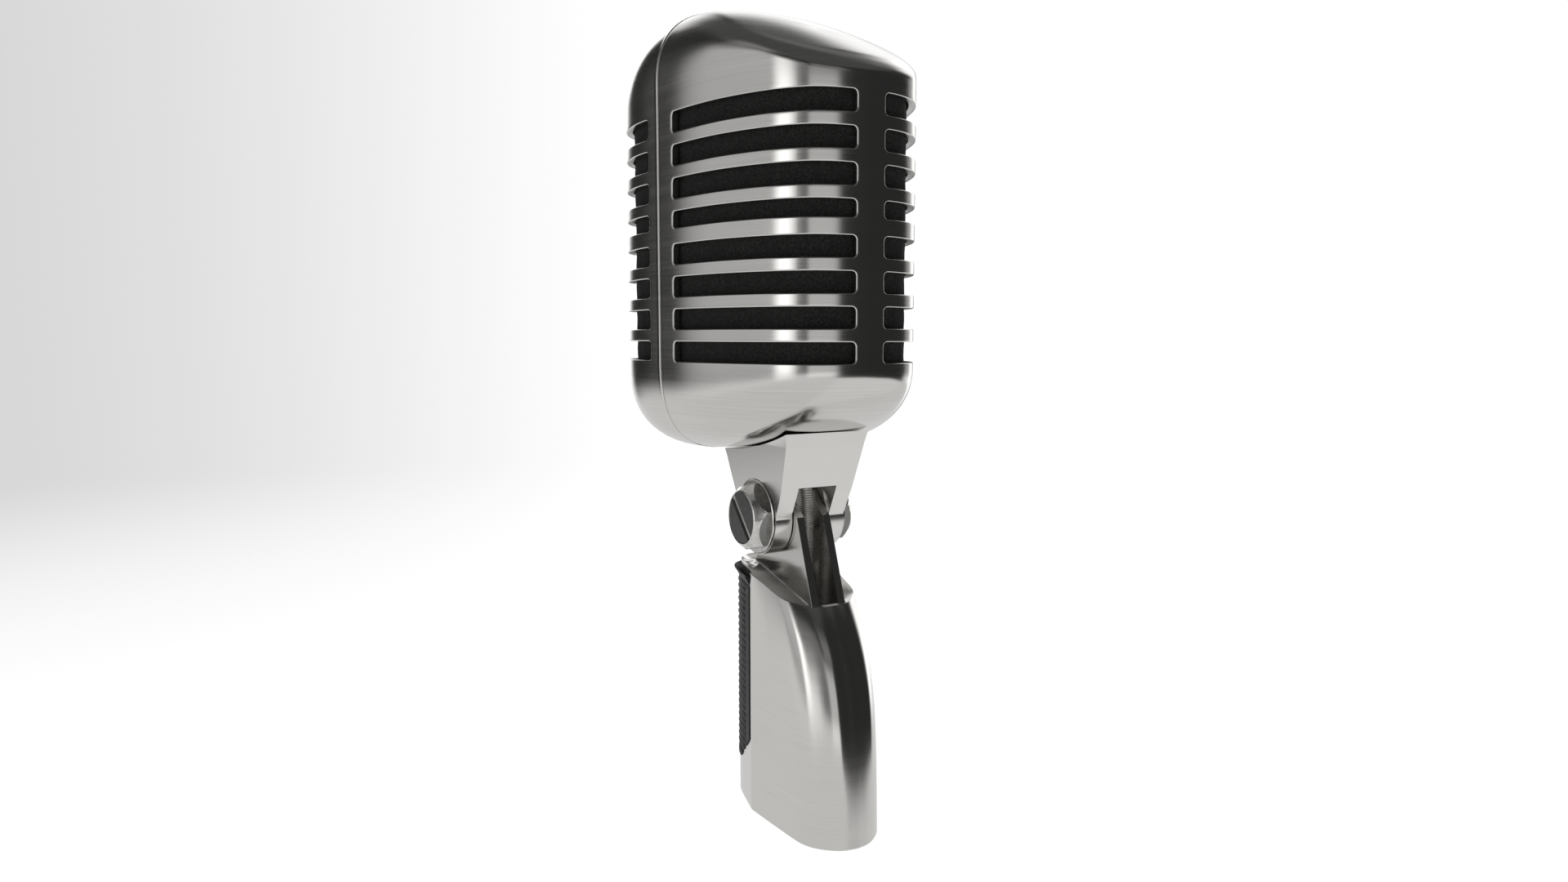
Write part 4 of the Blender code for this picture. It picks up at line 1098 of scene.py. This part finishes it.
def stage():
    """Pale floor that glows with painted light and carries painted shade to one side, soft studio light and the
    camera.
    """
    floor = solid("floor", box(-6000, 6000, -6000, 6000, -5.0, -0.5))
    nodes = Nodes("floor", (0.93, 0.93, 0.93), 0.0, 0.9)
    ground = Sky(nodes.tree, "Object", (0.12, 0.21, 0.0))
    # the floor's colour and glow carry painted shade far off to one side, measured from a point under the camera
    glow_and_shade = painted_side_shade(ground)
    nodes.link(ground.math("MULTIPLY", glow_and_shade, 0.45), "Base Color")
    # the floor glows with painted light, which washes out the shadows cast on it
    nodes.link(glow_and_shade, "Emission Color")
    nodes.shader.inputs["Emission Strength"].default_value = 0.5
    nodes.shader.inputs["Specular IOR Level"].default_value = 0.0
    floor.data.materials.append(nodes.mat)
    floor.visible_glossy = False
    world = bpy.data.worlds.new("studio")
    world.use_nodes = True
    bpy.context.scene.world = world
    tree = world.node_tree
    background = tree.nodes["Background"]
    sky = Sky(tree)
    sky.card(0, 180, -120, 120, 0.03)
    sky.card(-46, 140, -120, -10, 0.74, 6, 5)
    sky.card(134, 40, -120, -21, 0.8, 6, 2.5)
    sky.card(-21, 25.5, -10, 34, 0.54, 7, 10)
    sky.card(-14, 20, 38, 60, 0.2, 9, 9)
    sky.card(14, 5, -10, 18, 2.0, 4, 8)
    sky.card(14, 5, 18, 30, 0.6, 4, 8)
    sky.card(69, 24, -14, 17, 0.6, 5, 6)
    sky.card(32, 11, -14, 30, 0.16, 5, 6)
    sky.card(78, 24, 20, 38, 0.2, 8, 9)
    sky.card(-154, 14, -14, 42, 1.4, 7, 6)
    sky.card(-174, 9, -14, 20, 0.45, 6, 8)
    sky.card(-98, 10, -8, 38, 1.5, 5, 8)
    sky.card(-127, 16, 20, 35, 1.3, 6, 4)
    sky.card(-145, 26, 42, 56, 0.1, 9, 7)
    sky.card(0, 180, 46, 120, 0.05)
    path = added(tree, "LightPath")
    # camera rays see the backdrop with its painted shade to one side; other rays see the cards
    backdrop = added(tree, "Mix", [(0, path.outputs["Is Camera Ray"]), (2, sky.total), (3, painted_side_shade(sky))])
    tree.links.new(backdrop.outputs[0], background.inputs["Color"])
    sun = bpy.data.lights.new("floor_light", "SUN")
    sun.energy = 2.75
    sun.angle = math.radians(60)
    sun.use_shadow = False
    lamp = bpy.data.objects.new("floor_light", sun)
    bpy.context.collection.objects.link(lamp)
    lamp.visible_glossy = False

    data = bpy.data.cameras.new("camera")
    data.lens = 24.0
    data.sensor_width = 36.0
    data.clip_start = 0.01
    camera = bpy.data.objects.new("camera", data)
    bpy.context.collection.objects.link(camera)
    camera.location = CAMERA_SPOT
    camera.rotation_euler = Vector(CAMERA_AIM).to_track_quat("-Z", "Y").to_euler()
    bpy.context.scene.camera = camera
    bpy.context.scene.view_settings.view_transform = "Standard"


CAD_FINISH = {
    "steel": "steel", "dark_steel": "dark_steel", "magnet": "magnet", "foil": "foil", "board": "board",
    "rubber": "rubber", "core_iron": "core", "copper": "copper", "brass": "brass", "fibre": "fibre",
    "black_plastic": "plastic", "switch_knob": "knob", "satin_nickel": "cast",
}


def finish_cad_nodes():
    """Better materials on the CAD pieces that stay."""
    slots = {part["node"]: part["material_slot"] for part in frame["record"]["subparts"]}
    for name, obj in frame["nodes"].items():
        finish = CAD_FINISH.get(slots.get(name))
        if finish and not obj.hide_render:
            obj.data.materials.clear()
            obj.data.materials.append(MATS[finish])


stage()
head()
neck()
bolt("pivot_bolt_left", 1, "tilt_bolt_left")
bolt("pivot_bolt_right", -1, "tilt_bolt_right")
conduit()
base()
front_plate()
plate_screws()
switch_thumb()
finish_cad_nodes()
